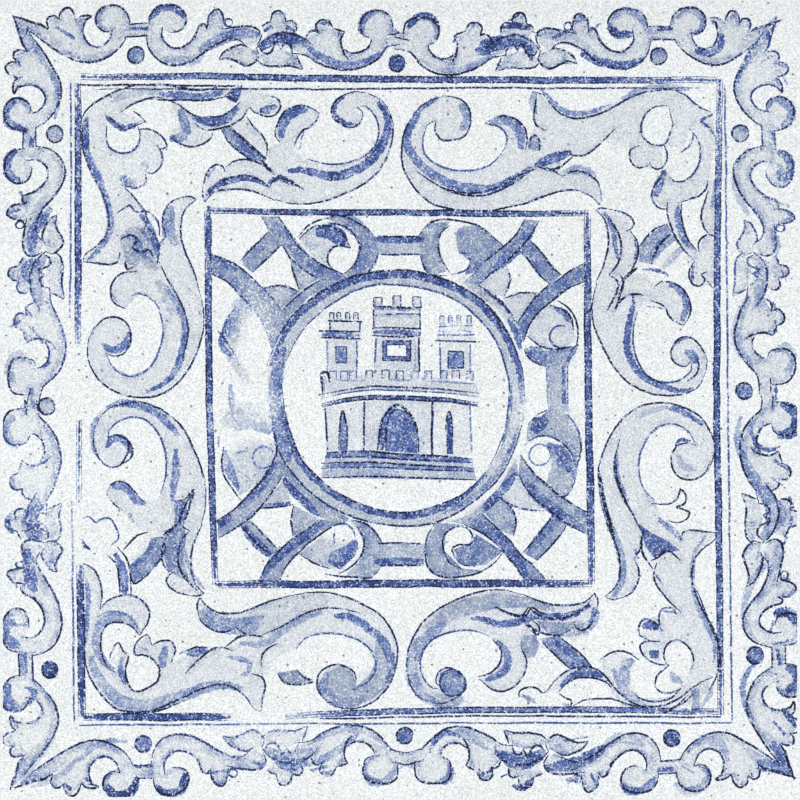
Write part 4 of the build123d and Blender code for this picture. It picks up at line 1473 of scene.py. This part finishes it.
bakeMap = {    # how the map that colours are baked through is shared out
    "face": 0.885,              # the glazed face, from the corner at 0, 0
    "back": (0.892, 0.105),     # where the back starts, and its side
    "edges": (0.896, 0.12),     # where the four edges start
    "edgeWidth": 0.02,
    "edgeLength": 0.87,
    "edgeSteps": 0.026,
    "steep": 0.3,               # faces that lean more than this are edges
}


def mapForBake(mesh, skinCount):
    corners = np.empty(len(mesh.loops), dtype=np.int32)
    mesh.loops.foreach_get("vertex_index", corners)
    points = np.empty(len(mesh.vertices) * 3)
    mesh.vertices.foreach_get("co", points)
    points = points.reshape(-1, 3)[corners]
    sizes = np.empty(len(mesh.polygons), dtype=np.int32)
    mesh.polygons.foreach_get("loop_total", sizes)
    normals = np.empty(len(mesh.polygons) * 3)
    mesh.polygons.foreach_get("normal", normals)
    normals = np.repeat(normals.reshape(-1, 3), sizes, axis=0)
    isTop = np.repeat(np.arange(len(sizes)) >= skinCount, sizes) | (normals[:, 2] > bakeMap["steep"])
    isBack = normals[:, 2] < -bakeMap["steep"]
    along = (points[:, :2] - tileLow[:2]) / (tileHigh[0] - tileLow[0])
    height = points[:, 2] / tileHigh[2]
    uv = along * bakeMap["face"]
    left, size = bakeMap["back"]
    uv[isBack] = along[isBack] * size + (left, 0)
    left, low = bakeMap["edges"]
    for index, (axis, sign) in enumerate(((0, 1), (0, -1), (1, 1), (1, -1))):
        pick = ~isTop & ~isBack & (np.abs(normals[:, axis]) >= np.abs(normals[:, 1 - axis]))
        pick &= normals[:, axis] * sign > 0
        uv[pick, 0] = left + index * bakeMap["edgeSteps"] + height[pick] * bakeMap["edgeWidth"]
        uv[pick, 1] = low + along[pick, 1 - axis] * bakeMap["edgeLength"]
    mesh.uv_layers.new(name="OFBake").data.foreach_set("uv", uv.astype(np.float32).ravel())


def buildTile(material, bodyMaterial):
    ribbons = makeRibbons(material)
    quads = ribbons["quads"]
    ribbonTris = np.vstack([quads[:, [0, 1, 2]], quads[:, [0, 2, 3]]])
    depth = ribbons["across"] * ribbons["halfWidth"]
    print("ribbons:", len(strokes), "strokes,", len(ribbonTris), "triangles")

    skinPoints, skinFaces, rim = openSkin()
    rimPoints = faceToBoard(skinPoints[rim])
    inset = board["gridInset"]
    marks = np.arange(inset, board["side"] - inset + 1, board["grid"], dtype=float)
    gridPoints = np.array([(x, y) for x in marks for y in marks])
    allPoints = np.vstack([rimPoints, ribbons["points"], gridPoints, *(w[0] for w in washes)])
    sides = np.vstack([quads[:, [0, 1]], quads[:, [1, 2]], quads[:, [2, 3]], quads[:, [3, 0]]])
    edges = [(i, (i + 1) % len(rim)) for i in range(len(rim))]
    edges += (np.unique(np.sort(sides, axis=1), axis=0) + len(rim)).tolist()
    at = len(rimPoints) + len(ribbons["points"]) + len(gridPoints)
    for points, tone, edge, fill in washes:
        edges += [(at + i, at + (i + 1) % len(points)) for i in range(len(points))]
        at += len(points)
    cut = delaunay_2d_cdt([Vector(p) for p in allPoints.tolist()], edges, [], 0, 1e-3, True)
    cutPoints = np.array([tuple(v) for v in cut[0]])
    cutFaces = np.array(cut[2])
    print("glazed face:", len(cutFaces), "triangles")

    # what each triangle lies in, and how deep in the stroke its corners are
    middles = cutPoints[cutFaces].mean(axis=1)
    corners = {name: np.zeros((len(cutFaces), 3)) for name in
               ("lineDepth", "lineInk", "shadeDepth", "shadeInk", "wash", "edge", "worn", "fromLine")}
    plane = affine(ribbons["points"][ribbonTris], depth[ribbonTris])
    triLayer = ribbons["layer"][ribbonTris[:, 0]].round()
    triInk = ribbons["ink"][ribbonTris[:, 0]]
    owners, sources = insideWhich(middles, ribbons["points"][ribbonTris])
    for layer, kind in ((lineLayer, "line"), (shadeLayer, "shade")):
        pick = triLayer[sources] == layer
        owner, source = owners[pick], sources[pick]
        xy = cutPoints[cutFaces[owner]]
        a, b, c = plane[source].T[:, :, None]
        value = xy[:, :, 0] * a + xy[:, :, 1] * b + c
        np.maximum.at(corners[kind + "Depth"], owner, np.clip(value, 0, board["deepest"]))
        np.maximum.at(corners[kind + "Ink"], owner, np.repeat(triInk[source][:, None], 3, axis=1))
    for points, tone, edge, fill in washes:
        near = (middles >= points.min(axis=0)).all(axis=1) & (middles <= points.max(axis=0)).all(axis=1)
        near = np.flatnonzero(near)
        held = near[insideOutline(middles[near], points)]
        corners["wash"][held] = np.maximum(corners["wash"][held], tone)
        corners["edge"][held] = np.maximum(corners["edge"][held], edge)
        if fill:
            corners["shadeInk"][held] = np.maximum(corners["shadeInk"][held], fill)
            corners["shadeDepth"][held] = np.maximum(corners["shadeDepth"][held], board["fillDepth"])
    fromLine = distanceFromLines(cutPoints, ribbons, sides)
    corners["fromLine"] = fromLine[cutFaces]
    # away from the contours the washes fade out softly
    for name in ("wash", "edge"):
        total = np.bincount(cutFaces.ravel(), corners[name].ravel(), len(cutPoints))
        mean = total / np.maximum(1, np.bincount(cutFaces.ravel(), minlength=len(cutPoints)))
        away = fromLine[cutFaces] > board["lineWidth"]
        corners[name][away] = mean[cutFaces][away]
    corners["worn"] = wearAt(cutPoints)[cutFaces]

    # one closed mesh
    place = np.full(len(cutPoints), -1)
    for index, origins in enumerate(cut[3]):
        for origin in origins:
            if origin < len(rim):
                place[index] = rim[origin]
    fresh = np.flatnonzero(place < 0)
    place[fresh] = len(skinPoints) + np.arange(len(fresh))
    points = np.vstack([skinPoints, boardToFace(cutPoints[fresh])])
    topFaces = place[cutFaces]
    xy = points[topFaces][:, :, :2]
    turn = ((xy[:, 1, 0] - xy[:, 0, 0]) * (xy[:, 2, 1] - xy[:, 0, 1])
            - (xy[:, 2, 0] - xy[:, 0, 0]) * (xy[:, 1, 1] - xy[:, 0, 1]))
    flip = turn < 0
    topFaces[flip] = topFaces[flip][:, ::-1]
    mesh = bpy.data.meshes.new("glazed_tile")
    mesh.from_pydata(points.tolist(), [], skinFaces + topFaces.tolist())
    skinCorners = sum(len(f) for f in skinFaces)
    for name, value in corners.items():
        value = value.copy()
        value[flip] = value[flip][:, ::-1]
        data = np.concatenate([np.zeros(skinCorners), value.ravel()]).astype(np.float32)
        mesh.attributes.new(name, "FLOAT", "CORNER").data.foreach_set("value", data)
    mesh.materials.append(material)
    mesh.materials.append(bodyMaterial)
    slots = np.repeat(np.array([1, 0], dtype=np.int32), [len(skinFaces), len(topFaces)])
    mesh.polygons.foreach_set("material_index", slots)
    mapForBake(mesh, len(skinFaces))
    return addObject("glazed_tile", mesh)


# Wear
wearFalloff = 1.5
wornPatches = [   # x, y, radius along x, radius along y, how much is gone
    (78, 355, 9, 14, 0.9), (62, 330, 34, 40, 0.35), (80, 400, 10, 12, 0.8), (78, 530, 8, 45, 0.9),
    (60, 500, 50, 60, 0.4), (256, 345, 20, 60, 0.9), (262, 405, 26, 22, 0.75), (230, 300, 24, 16, 0.2),
    (225, 425, 16, 18, 0.5), (262, 716, 30, 10, 0.9), (270, 735, 60, 40, 0.35), (575, 420, 10, 26, 0.4),
    (520, 405, 12, 34, 0.5), (455, 330, 9, 12, 0.8), (695, 140, 40, 44, 0.35), (140, 180, 60, 60, 0.2),
    (740, 260, 30, 50, 0.3), (620, 205, 40, 14, 0.3), (400, 665, 60, 40, 0.1), (30, 330, 30, 60, 0.3),
    (30, 465, 32, 36, 0.45), (40, 560, 24, 30, 0.25), (762, 62, 30, 46, 0.3), (772, 190, 26, 90, 0.25),
    (30, 740, 40, 30, 0.2), (180, 750, 60, 20, 0.15),
]


def wearAt(points):
    worn = np.zeros(len(points))
    for x, y, rx, ry, gone in wornPatches:
        away = ((points[:, 0] - x) / rx) ** 2 + ((points[:, 1] - y) / ry) ** 2
        worn = np.maximum(worn, gone * np.exp(-away * wearFalloff))
    return worn


# Materials
glaze = {
    "tint": (0.325, 0.40, 0.55),    # what a full wash leaves of the light
    "roughness": 0.42,
    "gloss": 0.25,
    "bump": (0.25, 0.0002),         # strength, and height in metres
    "grain": (0.0010, 2, 0.7, 0.0),     # noises: size in metres, detail, roughness, shift
    "brush": (0.0028, 3, 0.65, 3.0),
    "blotch": (0.008, 3, 0.65, 7.0),
    "cloud": (0.05, 3, 0.5, 9.0),
    "flakes": (0.0012, 2, 0.6, 21.0),
    "fineMottle": (0.0007, 1, 0.5, 31.0),
    "coarseMottle": (0.003, 3, 0.7, 33.0),
    "speckSpacing": 0.0045,
    "speckReach": (0.3, 0.13),      # how large the largest specks are, and how few of the rest show
    "pigment": [          # how much pigment, and the colour that it gives
        (0.00, (238, 242, 243)), (0.14, (218, 224, 231)), (0.32, (176, 189, 212)), (0.50, (118, 141, 194)),
        (0.68, (78, 102, 170)), (0.84, (44, 67, 134)), (1.00, (6, 18, 54)),
    ],
    "fullShade": 0.88,              # the most pigment that shading may hold
    # painted shade: the ground grows darker further up the face and a little towards its right, where the
    # light falls off, and darker again in a band along the top edge: from and to, in metres, and the two
    # tones
    "darkerTopEdge": (0.200, 0.222, 1.0, 0.96),
    "paintedShadeUpFace": (-0.08, 0.18, 1.025, 0.98),
    "flake": 0.78,                  # how much of the pigment a flake takes
    "flakesFrom": 0.585,            # more than this leaves fewer flakes
    "wornFlakes": 0.2,              # how many more there are where it's worn
    "wornFade": 0.8,
}


def linear(rgb):
    return tuple(((c / 255 + 0.055) / 1.055) ** 2.4 if c > 10 else c / 255 / 12.92 for c in rgb)


def newMaterial(name):
    material = bpy.data.materials.new(name)
    material.use_nodes = True
    n = Nodes(material.node_tree)
    n.place = n.add("ShaderNodeTexCoord").outputs["Object"]
    return material, n


def printedGlaze():
    material, n = newMaterial("printedGlaze")

    def about(noise, much, base=0.0):
        # the noise, centred on the base
        return n.math("MULTIPLY_ADD", n.math("SUBTRACT", noise, 0.5), much, base)

    grain, brush, blotch, cloud = (n.noise(*glaze[name]) for name in ("grain", "brush", "blotch", "cloud"))
    worn = n.attribute("worn")

    # contour lines: dry in places, thick in others
    line = n.ramp(about(grain, 2.4, n.attribute("lineDepth")), 0.05, 0.5)
    dry = n.ramp(brush, 0.38, 0.48, 0.2, 1.0)
    line = n.math("MULTIPLY", n.math("MULTIPLY", line, dry), n.attribute("lineInk"))
    # broad shading, darker where the pigment pooled
    shadeMask = n.ramp(about(brush, 5.0, about(grain, 3.0, n.attribute("shadeDepth"))), 0.2, 1.2)
    pooled = about(brush, 1.6, about(blotch, 1.4, about(grain, 2.0, 0.8)))
    shadeTone = n.math("MULTIPLY", n.math("MULTIPLY", shadeMask, n.attribute("shadeInk")), pooled)
    shadeTone = n.math("MINIMUM", n.math("MAXIMUM", shadeTone, 0.0), glaze["fullShade"])
    # pale wash, darker beside the contours
    mottled = about(blotch, 1.3, about(brush, 1.4, about(grain, 3.4, 1.0)))
    washTone = n.math("MULTIPLY", n.attribute("wash"), mottled, clamp=True)
    beside = n.ramp(about(brush, 6.0, n.attribute("fromLine")), 0.5, 7.0, 0.5, 0.0)
    stippled = about(grain, 5.0, about(blotch, 4.0, 0.4))
    edgeTone = n.math("MULTIPLY", n.math("MULTIPLY", n.attribute("edge"), beside), stippled, clamp=True)
    # all the pigment, then what flaked away
    bare = n.math("SUBTRACT", 1.0, line, clamp=True)
    for tone in (shadeTone, edgeTone):
        bare = n.math("MULTIPLY", bare, n.math("SUBTRACT", 1.0, tone, clamp=True))
    pigment = n.math("SUBTRACT", 1.0, bare)
    threshold = n.math("SUBTRACT", glaze["flakesFrom"], n.math("MULTIPLY", worn, glaze["wornFlakes"]))
    flake = n.math("SUBTRACT", n.noise(*glaze["flakes"]), threshold)
    flake = n.ramp(flake, 0.0, 0.05, 0.0, glaze["flake"])
    faded = n.math("SUBTRACT", 1.0, n.math("MULTIPLY", worn, glaze["wornFade"]))
    kept = n.math("MULTIPLY", n.math("SUBTRACT", 1.0, flake), faded)
    pigment = n.math("MULTIPLY", pigment, kept, clamp=True)
    colours = n.add("ShaderNodeValToRGB", {0: pigment})
    stops = colours.color_ramp.elements
    for index, (at, rgb) in enumerate(glaze["pigment"]):
        stop = stops[index] if index < 2 else stops.new(at)
        stop.position = at
        stop.color = (*linear(rgb), 1)
    # the glaze under it: grey clouds, fine grain, a few dark specks, and painted shade that darkens it
    # further up the face
    mottleAndPaintedShade = about(n.noise(*glaze["fineMottle"]), 1.5, about(n.noise(*glaze["coarseMottle"]), 0.12, 1.0))
    mottleAndPaintedShade = n.math("MULTIPLY", mottleAndPaintedShade, about(cloud, 0.12, 1.0))
    axes = n.add("ShaderNodeSeparateXYZ", {0: n.place})
    up = about(cloud, 0.02, axes.outputs["Y"])
    # painted shade: darker further up the face and towards its right, and in a band along the top edge
    mottleAndPaintedShade = n.math("MULTIPLY", mottleAndPaintedShade, n.ramp(up, *glaze["darkerTopEdge"]))
    across = n.math("MULTIPLY_ADD", axes.outputs["X"], 0.2, up)
    mottleAndPaintedShade = n.math("MULTIPLY", mottleAndPaintedShade, n.ramp(across, *glaze["paintedShadeUpFace"]))
    cells = n.add("ShaderNodeTexVoronoi", {"Vector": n.place, "Scale": 1 / glaze["speckSpacing"]})
    cellSize = n.add("ShaderNodeSeparateColor", {0: cells.outputs["Color"]})
    largest, held = glaze["speckReach"]
    reach = n.math("SUBTRACT", n.math("MULTIPLY", cellSize.outputs[0], largest), held)
    specks = n.ramp(n.math("SUBTRACT", cells.outputs["Distance"], reach), -0.02, 0.04, 0.35, 1.0)
    mottleAndPaintedShade = n.math("MULTIPLY", mottleAndPaintedShade, specks)
    groundToneAndShade = n.add("ShaderNodeCombineColor", {channel: mottleAndPaintedShade for channel in ("Red", "Green", "Blue")})
    colour = n.mix(1.0, colours.outputs[0], groundToneAndShade.outputs[0], "MULTIPLY")
    tinted = n.math("MULTIPLY", washTone, kept)
    tinted = n.math("MULTIPLY", tinted, n.math("SUBTRACT", 1.0, pigment), clamp=True)
    colour = n.mix(tinted, colour, (*glaze["tint"], 1), "MULTIPLY")
    height = n.math("MULTIPLY_ADD", grain, 0.5, n.math("MULTIPLY", pigment, -0.3))
    n.finish(colour, glaze["roughness"], height, glaze["bump"], glaze["gloss"])
    return material


biscuit = {
    "dark": (214, 209, 198),
    "light": (234, 231, 223),
    "glazed": (238, 242, 244),
    "grain": (0.0009, 4, 0.7, 0.0),
    "pits": (0.0012, 4, 0.7, 12.0),
    "glazeRun": (0.006, 3, 0.6, 4.0),    # how the glaze's lower edge wanders
    "runHeight": 0.003,
    "glazeEdge": (0.0022, 0.0018),       # metres below the face, where it starts and where it is full
    "roughness": 0.85,
    "glazeSmooths": 0.4,
    "bump": (0.4, 0.0004),
}


def biscuitBody():
    material, n = newMaterial("biscuitBody")
    tone = n.add("ShaderNodeValToRGB", {0: n.noise(*biscuit["grain"])})
    for stop, name, at in zip(tone.color_ramp.elements, ("dark", "light"), (0.3, 0.7)):
        stop.color = (*linear(biscuit[name]), 1)
        stop.position = at
    height = n.add("ShaderNodeSeparateXYZ", {0: n.place})
    run = n.math("SUBTRACT", n.noise(*biscuit["glazeRun"]), 0.5)
    glazeLine = n.math("MULTIPLY_ADD", run, biscuit["runHeight"], height.outputs["Z"])
    glazed = n.ramp(glazeLine, *(float(tileHigh[2]) - below for below in biscuit["glazeEdge"]))
    colour = n.mix(glazed, tone.outputs[0], (*linear(biscuit["glazed"]), 1))
    roughness = n.math("MULTIPLY_ADD", glazed, -biscuit["glazeSmooths"], biscuit["roughness"])
    n.finish(colour, roughness, n.noise(*biscuit["pits"]), biscuit["bump"])
    return material


# Studio
studio = {
    "floorColour": (0.82, 0.83, 0.84),
    "floorRoughness": 0.8,
    "floorSize": 3.0,
    "skyStrength": 0.72,
    "lampPower": 40.0,
    "lampSize": 2.0,
    "lamps": (("keyLamp", (-2.0, 2.2, 3.0), 1.0), ("fillLamp", (2.4, -1.8, 3.2), 0.8)),
    "lens": 100.0,
    "sensor": 36.0,
    "crop": 0.997,        # the picture's edge falls just inside the tile's rounded edge
}


def buildStudio():
    half = studio["floorSize"] / 2
    mesh = bpy.data.meshes.new("studio_floor")
    outline = [(-half, -half, 0), (half, -half, 0), (half, half, 0), (-half, half, 0)]
    mesh.from_pydata(outline, [], [(0, 1, 2, 3)])
    floor = addObject("studio_floor", mesh)
    material = bpy.data.materials.new("paleFloor")
    material.use_nodes = True
    shader = material.node_tree.nodes["Principled BSDF"]
    shader.inputs["Base Color"].default_value = (*studio["floorColour"], 1)
    shader.inputs["Roughness"].default_value = studio["floorRoughness"]
    mesh.materials.append(material)

    world = bpy.data.worlds.new("studioSky")
    world.use_nodes = True
    world.node_tree.nodes["Background"].inputs[0].default_value = (1, 1, 1, 1)
    world.node_tree.nodes["Background"].inputs[1].default_value = studio["skyStrength"]
    bpy.context.scene.world = world
    for name, place, power in studio["lamps"]:
        light = bpy.data.lights.new(name, "AREA")
        light.shape = "DISK"
        light.size = studio["lampSize"]
        light.energy = studio["lampPower"] * power
        lamp = addObject(name, light)
        lamp.location = place
        lamp.rotation_euler = Vector(place).to_track_quat("Z", "Y").to_euler()

    camera = bpy.data.cameras.new("camera")
    camera.lens = studio["lens"]
    camera.sensor_width = camera.sensor_height = studio["sensor"]
    halfSide = (tileHigh[0] - tileLow[0]) / 2
    distance = halfSide * studio["crop"] * 2 * studio["lens"] / studio["sensor"]
    viewer = addObject("camera", camera)
    viewer.location = (0, 0, tileHigh[2] + distance)
    bpy.context.scene.camera = viewer
    bpy.context.scene.view_settings.view_transform = "Standard"


drawFrames()
drawBorder()
drawDots()
drawBand()
for quarter in (quarterTopLeft, quarterTopRight, quarterBottomLeft, quarterBottomRight):
    quarter()
drawBars()
drawRing()
drawCastle()
print("drawn:", len(strokes), "strokes,", len(washes), "washes")
tile = buildTile(printedGlaze(), biscuitBody())
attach(tile, "root")
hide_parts("porcelain_tile")
print("tile built:", len(tile.data.polygons), "faces")
buildStudio()
print("studio: a floor, two lamps and a camera")
